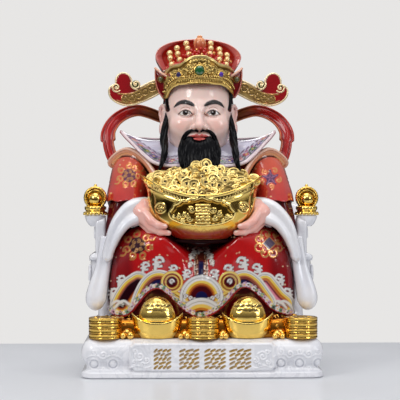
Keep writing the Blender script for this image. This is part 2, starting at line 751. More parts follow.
wt.links.new(w_lit.outputs[0], w_mix.inputs[1])
wt.links.new(w_seen.outputs[0], w_mix.inputs[2])
wt.links.new(w_mix.outputs[0], w_out.inputs[0])


def area(name, place, target, size, watts, colour=(1, 1, 1)):
    d = bpy.data.lights.new(name, "AREA")
    d.shape, d.size, d.size_y, d.energy, d.color = "RECTANGLE", size[0], size[1], watts, colour
    o = bpy.data.objects.new(name, d)
    o.location = Vector(place)
    o.rotation_euler = (Vector(target) - Vector(place)).to_track_quat("-Z", "Y").to_euler()
    scene.collection.objects.link(o)
    return o


area("key", (-0.95, -1.15, 0.95), (0, 0, 0.2), (0.42, 0.62), 7.6, (1.0, 0.985, 0.96))
area("fill", (1.15, -0.95, 0.65), (0, 0, 0.2), (0.36, 0.62), 4.2, (0.97, 0.98, 1.0))
area("front", (0.0, -1.35, 1.45), (0, 0, 0.2), (0.8, 0.4), 4.2)
area("top", (0.0, -0.1, 1.25), (0, 0, 0.2), (0.8, 0.7), 3.5)
area("rim", (0.0, 1.3, 0.9), (0, 0, 0.25), (1.2, 0.6), 4)

floor_v = np.array([[-1600, -430, 0], [1600, -430, 0], [1600, 258, 0], [-1600, 258, 0]], float)
floor_me = bpy.data.meshes.new("floor")
floor_me.from_pydata((floor_v * MM).tolist(), [], [(0, 1, 2, 3)])
floor = bpy.data.objects.new("floor", floor_me)
scene.collection.objects.link(floor)
floor.location.z = -0.0004
M_floor = material("floor", base=srgb(214, 216, 220), rough=0.30, var=0.02, size=3.0, rvar=0.04, rsize=5.0, spec=0.4)
floor_me.materials.append(M_floor)
scene.view_settings.view_transform = "Standard"
scene.view_settings.look = "None"


# ------------------------------------------------------------------ plinth
def stroke_block(b, u0, u1, v0, v1, col, seed):
    """Rows of short separate brushed strokes that fill a block and spell nothing."""
    r = np.random.default_rng(seed)
    rows = 5
    for i in range(rows):
        v = mix(v0 + 1.2, v1 - 1.2, i / (rows - 1))
        k = 3 + (i + seed) % 2
        cuts = np.linspace(u0 + 0.4, u1 - 0.4, k + 1) + np.r_[0, r.uniform(-0.9, 0.9, k - 1), 0]
        for a, c in zip(cuts[:-1], cuts[1:]):
            m, h = (a + c) / 2, (c - a) / 2 - 0.75
            tip = r.choice([0.9, 1.2])
            p = curve([(m - h, v + tip), (m, v - 0.1), (m + h, v - tip)], 8)
            d, t = b.to(p, 4)
            w = 1.75 + 0.5 * np.sin(t * 2.6 + 0.4)
            b.put(1 - step(w / 2 - 0.2, w / 2 + 0.35, d), col, 0.75, 0.3)


def plinth_piece():
    W, D, H, C = 270.0, 188.4, 42.5, 16.0
    # points round the plan, close together along the front and the front corners
    def edge():
        pts = []
        hx, hy = W / 2 - C, D / 2 - C
        spans = [((hx + C, 0), (hx + C, hy), 12), None, ((hx, hy + C), (-hx, hy + C), 30), None, ((-hx - C, hy), (-hx - C, -hy), 40), None, ((-hx, -hy - C), (hx, -hy - C), 320), None, ((hx + C, -hy), (hx + C, 0), 30)]
        arcs = iter([(hx, hy, 0), (-hx, hy, 1), (-hx, -hy, 2), (hx, -hy, 3)])
        for s in spans:
            if s is None:
                cx, cy, q = next(arcs)
                t = (q + np.linspace(0, 1, 22)[1:-1]) * PI / 2
                pts += [(cx, cy, math.cos(a), math.sin(a)) for a in t]
            else:
                (x0, y0), (x1, y1), k = s
                for t in np.linspace(0, 1, k, endpoint=True):
                    x, y = mix(x0, x1, t), mix(y0, y1, t)
                    if abs(abs(x) - hx - C) < 1e-6:
                        pts.append((math.copysign(hx, x), y, math.copysign(1, x), 0.0))
                    else:
                        pts.append((x, math.copysign(hy, y), 0.0, math.copysign(1, y)))
        out = [pts[0]]
        for q in pts[1:]:
            if abs(q[0] + q[2] * C - out[-1][0] - out[-1][2] * C) + abs(q[1] + q[3] * C - out[-1][1] - out[-1][3] * C) > 0.05:
                out.append(q)
        return np.array(out)

    E = edge()[:-1]
    prof = [[0, 1.4], [0.6, 0.5], [1.4, 0.0], [5.6, 0.0], [6.6, 0.8], [7.6, 2.8], [9.6, 5.4], [12.5, 6.0], [16, 4.3], [20, 1.8], [25, 0.3], [29, 0.0], [33, 0.6], [37, 2.4], [39.6, 4.6], [41.4, 7.0], [42.3, 9.2], [42.5, 10.6]]
    z = np.concatenate([np.linspace(0, 8, 14)[:-1], np.linspace(8, 42.5, 50)])
    ins = pchip(prof, z)
    R = np.empty((len(z), len(E), 3))
    for j, (zz, i) in enumerate(zip(z, ins)):
        r = C - i
        R[j, :, 0] = E[:, 0] + E[:, 2] * r
        R[j, :, 1] = E[:, 1] + E[:, 3] * r + 0.8
        R[j, :, 2] = zz
    X, Z = R[..., 0], R[..., 2]
    front = (E[:, 3] < -0.85)[None] & (Z > 0)
    # the raised panel in the middle of the front, with stepped corners
    c = 4.0
    dx, dz = 81.5 - np.abs(X), 17.0 - np.abs(Z - 23.6)
    inner = np.minimum(np.minimum(dx, dz), np.hypot(np.maximum(c - dx, 0) * 0 + dx, dz) - c)
    inner = np.minimum(inner, np.hypot(np.maximum(dx, 0), np.maximum(dz, 0)) - c * 0.8)
    face = -94.2
    rim = step(0.0, 2.2, inner)
    y = R[..., 1]
    groove = -0.9 * bell(inner + 0.9, 0.9) * (Z > 5)
    flat = mix(y, np.minimum(y, face) * 0 + face, rim)
    y2 = np.where(front, np.where(inner > -4, flat - groove, y), y)
    frame_line = 0.55 * (bell(inner - 3.6, 0.7))
    y2 = np.where(front, y2 - frame_line * (inner > 0), y2)
    R[..., 1] = y2
    V, F = loft(R)
    U_, V_ = seen(V)
    isf = (V[:, 1] < -82) & (V[:, 2] > 0.4)
    b = Brush(np.where(isf, U_, -500), V_, srgb(236, 236, 240))
    shade_col = srgb(206, 208, 216)
    white = srgb(242, 242, 246)
    # a sunk, slightly greyer ground behind the reliefs
    for lo, hi in ((130, 151), (253.5, 273)):
        b.put(step(lo, lo + 1.5, b.U) * (1 - step(hi - 1.5, hi, b.U)) * step(345, 347, b.V) * (1 - step(370, 372, b.V)), srgb(226, 227, 232), 0, -0.25)
    for lo, hi in ((84.5, 124), (280, 322)):
        b.put(step(lo, lo + 2.5, b.U) * (1 - step(hi - 2.5, hi, b.U)) * step(350, 352, b.V) * (1 - step(371, 373, b.V)), srgb(227, 228, 233), 0, -0.25)
    # cloud scrolls in low relief inside the panel ends
    for cx, cy, hand in ((139.5, 356.5, 1), (262.5, 356.5, -1)):
        for du, dv, r0, tr in ((0, 0, 5.2, 1.5), (7, 3.8, 3.4, 1.3), (-5.6, 5.6, 3.0, 1.2), (2.5, 8.2, 2.6, 1.1), (-4.8, -5.0, 2.6, 1.1)):
            b.line(spiral(cx + du * hand, cy + dv, 0.4, r0, tr, 0.5, 30, hand), 1.15, white, 0, 0.95)
        b.line([(cx - 9 * hand, cy + 11), (cx - 2 * hand, cy + 9.2), (cx + 6 * hand, cy + 11.4), (cx + 12 * hand, cy + 9.6)], 1.1, white, 0, 0.85, n=14)
    # side zones: bosses in rings, scrolls over them and a flat arch below
    for us, vs in (((94, 113), 364), ((281, 299.5, 318), 363)):
        for u in us:
            b.ring(u, vs, 5.3, 1.2, white, 0, 0.7)
            b.ring(u, vs, 4.0, 0.8, shade_col, 0, -0.25)
            b.disc(u, vs, 3.1, white, 0, 1.5)
            b.disc(u, vs, 1.7, white, 0, 1.9)
        mids = [(a + c_) / 2 for a, c_ in zip(us[:-1], us[1:])]
        for u in mids:
            b.line(spiral(u - 0.3, vs - 9.2, 0.3, 4.4, 1.4, 0.4, 26, 1), 1.1, white, 0, 0.95)
            b.line(spiral(u + 0.3, vs + 5.0, 0.3, 2.2, 1.1, 2.4, 16, -1), 0.9, white, 0, 0.8)
        for u, hand in zip(us, (1, -1, 1)):
            b.line(spiral(u, vs - 11.5, 0.4, 3.4, 1.2, 1.2, 22, hand), 1.0, white, 0, 0.85)
            b.line([(u - 8, vs - 5.6), (u - 3.5, vs - 8.2), (u + 3.5, vs - 8.2), (u + 8, vs - 5.6)], 0.9, white, 0, 0.75, n=12)
        lo, hi = us[0] - 8, us[-1] + 8
        b.line([(lo, vs + 7.6), (lo + 5, vs + 6.4), ((lo + hi) / 2, vs + 5.9), (hi - 5, vs + 6.4), (hi, vs + 7.6)], 1.2, white, 0, 0.85, n=20)
    # gilt strokes
    gcol = srgb(196, 156, 78)
    for i, (a, c_) in enumerate(((153.5, 171.5), (179, 199.5), (204, 226), (229, 251.5))):
        stroke_block(b, a, c_, 349.5, 368.5, gcol, 11 + i)
    N = normals(V, F)
    V = V + N * (b.h * 0.8)[:, None]
    # a slow unevenness as of moulded stone
    V = V + N * (0.18 * grain(V, 22, 3) * (V[:, 2] > 0.5))[:, None]
    V[:, 2] = np.maximum(V[:, 2], 0)
    s = Soup()
    s.add((V, F), b.c)
    s.build("plinth_body", M_stone, "white_glaze", ("plinth",), sharp=60)


plinth_piece()


# ------------------------------------------------------------------ throne
def roundbox(x0, x1, y0, y1, levels, e=7.0, n=120):
    """A block with soft corners; levels are [z, inset] pairs."""
    cx, cy = superloop(n, e, (x1 - x0) / 2, (y1 - y0) / 2)
    R = [np.stack([(x0 + x1) / 2 + cx * ((x1 - x0) / 2 - i), (y0 + y1) / 2 + cy * ((y1 - y0) / 2 - i), np.full(n, z)], -1) for z, i in levels]
    return loft(R)


def inside(poly, P):
    """Which points of P[..., 2] lie in a closed polygon."""
    p = np.asarray(poly, float)
    x, y = P[..., 0], P[..., 1]
    odd = np.zeros(x.shape, bool)
    for (x0, y0), (x1, y1) in zip(p, np.roll(p, -1, 0)):
        hit = (y0 > y) != (y1 > y)
        with np.errstate(divide="ignore", invalid="ignore"):
            odd ^= hit & (x < (x1 - x0) * (y - y0) / (y1 - y0) + x0)
    return odd


def edge_dist(poly, P):
    p = np.asarray(poly, float)
    best = np.full(P.shape[:-1], 1e9)
    for a, c in zip(p, np.roll(p, -1, 0)):
        e = c - a
        t = np.clip(((P - a) @ e) / max(e @ e, 1e-9), 0, 1)
        best = np.minimum(best, np.linalg.norm(P - a - t[..., None] * e, axis=-1))
    return best


def plate(outline, y0, y1, cell, round_=1.4, bulge=None):
    """A plate of that outline in X-Z between y0 and y1, with rounded edges."""
    o = np.asarray(outline, float)
    lo, hi = o.min(0) - 3 * cell, o.max(0) + 3 * cell
    gx, gz = np.arange(lo[0], hi[0], cell / 2), np.arange(lo[1], hi[1], cell / 2)
    G = np.stack(np.meshgrid(gx, gz, indexing="ij"), -1)
    d = edge_dist(o, G)
    d[inside(o, G)] *= -1

    def flat(P):
        fx = np.clip((P[..., 0] - gx[0]) / (cell / 2), 0, len(gx) - 1.001)
        fz = np.clip((P[..., 2] - gz[0]) / (cell / 2), 0, len(gz) - 1.001)
        i, j = fx.astype(int), fz.astype(int)
        a, c = fx - i, fz - j
        return (d[i, j] * (1 - a) + d[i + 1, j] * a) * (1 - c) + (d[i, j + 1] * (1 - a) + d[i + 1, j + 1] * a) * c

    ym, half = (y0 + y1) / 2, (y1 - y0) / 2

    def f(P):
        q = flat(P)
        t = half if bulge is None else half * bulge(P, q)
        a, c = q + round_, np.abs(P[..., 1] - ym) - t + round_
        return np.minimum(np.maximum(a, c), 0) + np.hypot(np.maximum(a, 0), np.maximum(c, 0)) - round_

    return skin_of(f, (lo[0], y0 - 2 * cell, lo[1]), (hi[0], y1 + 2 * cell, hi[1]), cell)


def scroll_xz(x, z, r, turns, start, hand=1, n=26):
    p = spiral(x, z, r * 0.18, r, turns, start, n, hand)
    return p


def throne_piece():
    s = Soup()
    w = (*WHITE, 0.0)
    z0 = 42.85
    s.add(roundbox(-128.5, 128.5, -35.6, 78, [[z0, 2.2], [z0 + 0.6, 1.0], [z0 + 2, 0.2], [z0 + 9, 0], [z0 + 11, 0.6], [z0 + 13, 3.0], [z0 + 15.5, 6.6], [z0 + 20, 8.6], [z0 + 30, 9.2], [z0 + 40, 8.6], [z0 + 46, 6.6], [z0 + 50, 3.4], [z0 + 52.5, 1.0], [z0 + 54.5, 0.1], [z0 + 60, 0], [z0 + 80, 0], [z0 + 85, 0.4], [z0 + 87.2, 1.6], [z0 + 88.6, 3.6], [z0 + 89.15, 6]], e=9, n=200), w)
    # arms: a rolled profile along Y, thick across X
    for sgn in (-1, 1):
        prof = curve([(-33, 129), (-35.5, 146), (-36, 160), (-38.5, 168), (-37, 175), (-30, 178.6), (-21, 177.5), (-14, 172), (-4, 168.5), (12, 167.5), (28, 171), (38, 180), (48, 187), (64, 190), (66, 160), (66, 129)], 90)
        o = np.stack([prof[:, 0], prof[:, 1]], -1)
        V, F = plate(o, -6.0, 6.0, 1.5, 3.2)
        V = np.stack([V[:, 1] + sgn * 115.8, V[:, 0], V[:, 2]], -1)
        s.add((V, F), w)
        # the cup under each finial and a moulding where the arm meets the seat
        s.add(lathe([[0, 166.5], [5.4, 166.8], [7.6, 168.6], [9.6, 171.4], [11.0, 174.4], [11.9, 177.2], [12.0, 178.6], [10.8, 179.3], [0, 179.4]], 56, (sgn * 122, -28, 0)), w)
        s.add(roundbox(sgn * 118.5 - 11, sgn * 118.5 + 11, -36.5, 66, [[128, 1.6], [129.4, 0.3], [131.5, 0], [133.2, 0.8], [134.6, 2.8], [135.6, 5.2]], e=8, n=90), w)
        # low scrolls carved on the outer side of the arm and of the seat
        X = sgn * 122.0
        for y, z, r, t, a, h in ((-20, 158, 9, 1.5, 0.4, 1), (2, 152, 8, 1.4, 2.4, -1), (24, 152, 9, 1.5, 0.6, 1), (46, 160, 11, 1.6, 2.2, -1), (44, 178, 5.5, 1.3, 0.6, 1)):
            p = scroll_xz(y, z, r, t, a, h)
            s.add(tube(np.stack([np.full(len(p), X), p[:, 0], p[:, 1]], -1), np.linspace(1.0, 1.7, len(p)), 8), w)
        for y, z, r, t, a, h in ((-18, 113, 10, 1.6, 0.3, 1), (6, 113, 8, 1.4, 2.5, -1), (28, 113, 10, 1.6, 0.4, 1), (54, 113, 12, 1.6, 2.5, -1)):
            p = scroll_xz(y, z, r, t, a, h)
            s.add(tube(np.stack([np.full(len(p), sgn * 128.6), p[:, 0], p[:, 1]], -1), np.linspace(0.9, 1.6, len(p)), 8), w)
        for z in (101.5, 128):
            s.add(tube(np.stack([np.full(12, sgn * 128.4), np.linspace(-24, 68, 12), np.full(12, z)], -1), 1.1, 8), w)
    # backrest: cloud-topped, with a raised border and scrolls behind
    half = [(112, 129), (112.5, 160), (112, 178), (106, 189), (96, 191), (91, 196), (90, 206), (84, 214), (72, 217), (62, 216), (52, 222), (36, 227), (18, 229.5)]
    o = curve(half + [(0, 230.4)] + [(-x, z) for x, z in half[::-1]], 150)
    V, F = plate(o, 60, 70.5, 1.9, 2.6)
    s.add((V, F), w)
    ring_ = curve([(x * 0.925, 129 + (z - 129) * 0.925) for x, z in half] + [(0, 222.5)] + [(-x * 0.925, 129 + (z - 129) * 0.925) for x, z in half[::-1]], 130)
    for y in (60.2, 70.3):
        s.add(tube(np.stack([ring_[:, 0], np.full(len(ring_), y), ring_[:, 1]], -1), 1.5, 8), w)
    for x, z, r, t, a, h in ((0, 193, 15, 1.9, 0.5, 1), (26, 205, 8, 1.4, 2.2, -1), (48, 199, 11, 1.6, 0.4, 1), (70, 198, 8, 1.4, 2.4, -1), (34, 178, 10, 1.5, 2.8, 1), (62, 176, 11, 1.6, 0.2, -1), (88, 170, 10, 1.5, 1.2, 1), (14, 164, 9, 1.4, 0.6, -1), (44, 154, 10, 1.5, 2.0, 1), (78, 150, 10, 1.5, 0.6, -1)):
        for m in ((1, -1) if x else (1,)):
            p = scroll_xz(x, z, r, t, a, h)
            s.add(tube(np.stack([p[:, 0] * m, np.full(len(p), 70.4), p[:, 1]], -1), np.linspace(1.0, 2.0, len(p)), 8), w)
    # the seat's back face: a framed panel with scrolls
    q = curve([(-108, 68), (-108, 122), (0, 124), (108, 122), (108, 68), (0, 66)], 120, closed=True)
    for m in (1, -1):
        for x, z, r, t, a, h in ((18, 112, 9, 1.5, 0.3, 1), (44, 113, 10, 1.5, 2.6, -1), (72, 113, 9, 1.5, 0.4, 1), (100, 113, 8, 1.4, 2.4, -1)):
            p = scroll_xz(x, z, r, t, a, h)
            s.add(tube(np.stack([p[:, 0] * m, np.full(len(p), 78.0), p[:, 1]], -1), np.linspace(0.9, 1.7, len(p)), 8), w)
    for z in (101.5, 127):
        s.add(tube(np.stack([np.linspace(-116, 116, 20), np.full(20, 77.9), np.full(20, z)], -1), 1.1, 8), w)

    def shade(V, C):
        C = C.copy()
        U_, V_ = seen(V)
        b = Brush(np.where(V[:, 1] < 0, U_, -500), V_, C)
        ink = srgb(58, 62, 108)
        for u, v in ((99, 255), (93, 278), (295.6, 231), (301, 254), (307, 277)):
            b.line(spiral(u, v, 0.2, 1.7, 1.1, 0.8, 12), 0.7, ink, 0, 0, 0.35)
            b.line([(u - 1.8, v + 2.2), (u, v + 1.4), (u + 1.6, v + 2.4)], 0.6, ink, 0, 0, 0.35)
        return b.c

    s.build("throne_body", M_white, "white_glaze", ("throne",), sharp=50, shade=shade)


throne_piece()


# ------------------------------------------------------------------ finials on the throne's arms
def gold_shade(V, C):
    """Gilt all over, browner in hollows as the fourth value of the paint says how bright it is."""
    out = C.copy()
    return out


def finial_piece(name, x, node):
    s = Soup()
    g = (*GOLD, 1.0)
    d = (*srgb(196, 140, 50), 1.0)
    y = -28
    # a lotus base of two rows, a fluted hood and a ball held in its front
    prof = [[0, 180.4], [12.6, 180.4], [13.3, 180.9], [13.5, 182.0], [13.1, 183.3], [11.4, 184.0], [10.9, 184.8], [11.6, 186.0], [12.0, 187.8], [11.7, 189.4], [10.4, 190.4], [8.4, 190.8], [0, 191.0]]
    zz = np.linspace(0, 1, 80)
    p = np.asarray(prof)
    L = np.r_[0, np.cumsum(np.hypot(*np.diff(p, axis=0).T))]
    p = np.stack([np.interp(zz * L[-1], L, p[:, 0]), np.interp(zz * L[-1], L, p[:, 1])], -1)

    def wave(a, z):
        k = 0.035 * np.abs(np.cos(8 * a)) * step(179, 180.6, z) * (1 - step(183.0, 183.8, z))
        return k + 0.05 * np.abs(np.cos(6 * a)) * step(185, 186, z) * (1 - step(189.6, 190.6, z))

    s.add(lathe(p, 120, (x, y, 0), wave=wave), g)
    hood = curve(np.array([(0.01, 9.6), (4, 9.2), (8, 7.7), (11, 4.8), (12.7, 0.8), (13.1, -2.0), (12.9, -4.2), (12.0, -5.6), (11.0, -5.7), (10.4, -4.8), (10.0, -3.2), (9.5, -1.8), (8.9, -0.9), (5, -0.4), (0.01, -0.2)], float), 70)
    hood[[0, -1], 0] = 0
    Vh, Fh = lathe(hood[::-1], 110, (0, 0, 0), wave=lambda a, z: 0.028 * np.abs(np.cos(13 * a)) * step(-6.5, -3.5, -np.abs(z + 1.5) - 0.0))
    s.add((np.stack([x + Vh[:, 0], y + Vh[:, 2], 199.6 - Vh[:, 1]], -1), Fh), g)
    for i in range(27):
        a = -0.35 + i / 26 * (PI + 0.7)
        s.add(egg((x + 11.5 * math.cos(a), y - 5.7, 199.6 + 11.5 * math.sin(a)), (0.75, 0.8, 0.75), 8, 6), g)
    s.add(egg((x, y - 2.6, 198.2), (8.2, 8.2, 8.2), 48, 30), g)
    s.add(tube(np.stack([x + 9.3 * np.cos(np.linspace(-0.5, PI + 0.5, 40)), np.full(40, y - 4.6), 199.2 + 9.3 * np.sin(np.linspace(-0.5, PI + 0.5, 40))], -1), 0.8, 8), g)
    s.add(egg((x, y + 1.5, 213.4), (1.9, 1.9, 2.2), 14, 10), g)
    for i in range(18):
        a = (i + 0.5) / 18 * 2 * PI
        s.add(egg((x + 13.1 * math.cos(a), y + 13.1 * math.sin(a), 180.9), (1.2, 1.2, 1.4), 8, 5), g)
    s.build(name, M_gold, "bright_gilt", (node,), sharp=50)


finial_piece("finial_gilt_left", -122.0, "finial_left")
finial_piece("finial_gilt_right", 122.0, "finial_right")


# ------------------------------------------------------------------ the robe over the knees
ENAMEL_WHITE = srgb(216, 214, 212)
ENAMEL_GREY = srgb(146, 144, 138)
ENAMEL_YELLOW = srgb(222, 190, 78)
ENAMEL_OCHRE = srgb(186, 104, 34)
ENAMEL_BROWN = srgb(124, 42, 16)
ENAMEL_RED = srgb(66, 4, 12)
ENAMEL_BLUE = srgb(20, 20, 66)
ENAMEL_DARK = srgb(40, 16, 14)
ENAMEL_GREEN = srgb(120, 158, 140)
ENAMEL_PINK = srgb(214, 132, 150)
SLATE = srgb(74, 62, 84)

HEM = [(100, 311), (105, 312), (120, 317), (131, 313), (140, 302), (148, 293), (157, 289), (165, 293.5), (172, 300), (180, 308), (190, 315), (201, 318.5), (212, 315), (222, 308), (229, 301), (236, 293), (243, 288), (251, 290.5), (262, 300), (272, 310), (290, 316), (305, 312)]
WAVE_BANDS = [(11.8, ENAMEL_WHITE, 0.30), (9.9, ENAMEL_GREY, 0.12), (9.3, ENAMEL_WHITE, 0.34), (8.5, ENAMEL_YELLOW, 0.42), (6.2, ENAMEL_OCHRE, 0.36), (5.0, ENAMEL_BROWN, 0.22), (3.9, srgb(34, 4, 12), 0.05)]


def banded(b, d, inside, bands, soft=0.5):
    for r, col, lift in bands:
        b.put((1 - step(r - soft / 2, r + soft / 2, d)) * inside, col, 0, lift)


def ribbon(b, spine, bands, clip=None, n=26):
    p = curve(spine, n)
    d, s = b.to(p, bands[0][0] + 2)
    inside = 1.0 if clip is None else clip
    banded(b, d, inside, bands)


def curl(b, u, v, size, hand=1, turn=0.0, col=ENAMEL_WHITE, stem=True):
    """A breaking crest of foam: a thick back from which three curled fingers reach forward."""
    s, h = size, hand
    arc = lambda r, a0, a1, cu=0.0, cv=0.0: [(u + h * (cu * s + r * s * math.cos(a)), v + cv * s + r * s * math.sin(a)) for a in np.linspace(a0, a1, 9)]
    lines = [(arc(0.64, 1.9, 6.15), 0.40 * s), ([(u - 0.55 * s * h, v + 0.16 * s), (u - 0.2 * s * h, v + 0.22 * s), (u + 0.06 * s * h, v + 0.20 * s)], 0.26 * s)]
    dots = [(0.60, -0.02, 0.25), (0.12, 0.20, 0.20)]
    if stem:
        lines += [([(u - 0.58 * s * h, v + 0.3 * s), (u - 0.66 * s * h, v + 0.8 * s), (u - 0.70 * s * h, v + 1.35 * s)], 0.48 * s),
                  ([(u - 0.6 * s * h, v + 0.8 * s), (u - 0.1 * s * h, v + 0.98 * s), (u + 0.22 * s * h, v + 0.86 * s)], 0.28 * s)]
        dots += [(0.30, 0.84, 0.21), (-0.98, -0.22, 0.17), (-1.0, 0.52, 0.17), (-0.55, -0.62, 0.15)]
    for grow, c, lift in ((0.42, srgb(60, 10, 20), 0.0), (0.0, col, 0.42)):
        for pts, w in lines:
            b.line(pts, w + 2 * grow, c, 0, lift, 0.45)
        for du, dv, r in dots:
            b.disc(u + du * s * h, v + dv * s, r * s + grow, c, 0, lift, 0.45)


def cloud(b, u, v, r, ring, heart, gilt=0.6, seed=0):
    """A dark cloud with gilt coils in it and loose hooks of gilt round it."""
    rr = np.random.default_rng(seed)
    for k in range(7):
        a = k / 7 * 2 * PI + 0.3
        b.disc(u + 0.34 * r * math.cos(a), v + 0.34 * r * math.sin(a), 0.26 * r, heart, 0, 0.24)
    b.disc(u, v, 0.38 * r, heart, 0, 0.24)
    for k in range(6):
        a = k / 6 * 2 * PI + 0.8
        b.line(spiral(u + 0.30 * r * math.cos(a), v + 0.30 * r * math.sin(a), 0.3, 0.15 * r, 1.1, a, 12, 1 if k % 2 else -1), 0.6, tuple(np.array(ring) * 0.75), gilt, 0.32)
    for k in range(7):
        a = k / 7 * 2 * PI + 0.15 + rr.uniform(-0.1, 0.1)
        cu, cv = u + 0.78 * r * math.cos(a), v + 0.78 * r * math.sin(a)
        t = np.linspace(-1.0, 1.15, 20) * PI * (1 if k % 2 else -1) + a + PI
        q = r * np.linspace(0.27, 0.12, 20)
        b.line(np.stack([cu + np.cos(t) * q, cv + np.sin(t) * q], -1), 1.15, ring, gilt, 0.4)
    for a, k in ((-0.45, 1), (2.6, -1)):
        p = [(u + 0.9 * r * math.cos(a), v + 0.9 * r * math.sin(a)), (u + 1.15 * r * math.cos(a + 0.12 * k), v + 1.1 * r * math.sin(a + 0.12 * k)), (u + 1.38 * r * math.cos(a - 0.02), v + 1.3 * r * math.sin(a - 0.02))]
        b.line(p, 0.95, ring, gilt, 0.36, n=8)


def medallion(b, u, v, r, ring, heart, hand=1, gilt=0.6):
    """Scroll loops round a dark lozenge."""
    for k in range(8):
        a = (k + 0.5) / 8 * 2 * PI
        cu, cv = u + math.cos(a) * r * 0.72, v + math.sin(a) * r * 0.72
        q = r * (0.27 if k % 2 else 0.235)
        t = np.linspace(-0.78 * PI, 0.78 * PI, 20) + a
        arc = np.stack([cu + np.cos(t) * q, cv + np.sin(t) * q], -1)
        hook = spiral(cu + math.cos(t[-1]) * q * 0.45, cv + math.sin(t[-1]) * q * 0.45, q * 0.5, q * 0.12, 0.7, t[-1], 10, 1 if k % 2 else -1)
        b.line(np.vstack([arc, hook]), 1.05, ring, gilt, 0.40)
    d = np.abs(b.U - u) + np.abs(b.V - v)
    b.put(1 - step(r * 0.47, r * 0.53, d), ring, gilt, 0.30)
    b.put(1 - step(r * 0.41, r * 0.46, d), heart, 0, 0.22)
    grid = np.abs(np.sin((b.U - u + b.V - v) * 1.6)) < 0.28
    grid2 = np.abs(np.sin((b.U - u - b.V + v) * 1.6)) < 0.28
    b.put((1 - step(r * 0.36, r * 0.41, d)) * (grid | grid2) * 0.5, tuple(np.array(heart) * 2.2 + 0.02), 0, 0.28)


def florets(b, poly, gap, r, cols, seed=0, lift=0.4):
    p = np.asarray(poly, float)
    L = np.r_[0, np.cumsum(np.linalg.norm(np.diff(p, axis=0), axis=1))]
    k = max(2, int(L[-1] / gap))
    rr = np.random.default_rng(seed)
    for i, s in enumerate(np.linspace(0, L[-1], k)):
        u, v = np.interp(s, L, p[:, 0]), np.interp(s, L, p[:, 1])
        u, v = u + rr.uniform(-0.4, 0.4), v + rr.uniform(-0.5, 0.5)
        q = r * rr.uniform(0.8, 1.15)
        c = cols[i % len(cols)]
        for a in range(5):
            t = a / 5 * 2 * PI + i
            b.disc(u + math.cos(t) * q * 0.62, v + math.sin(t) * q * 0.62, q * 0.46, c, 0, lift, 0.4)
        b.disc(u, v, q * 0.34, ENAMEL_YELLOW if i % 2 else ENAMEL_RED, 0, lift + 0.1, 0.4)


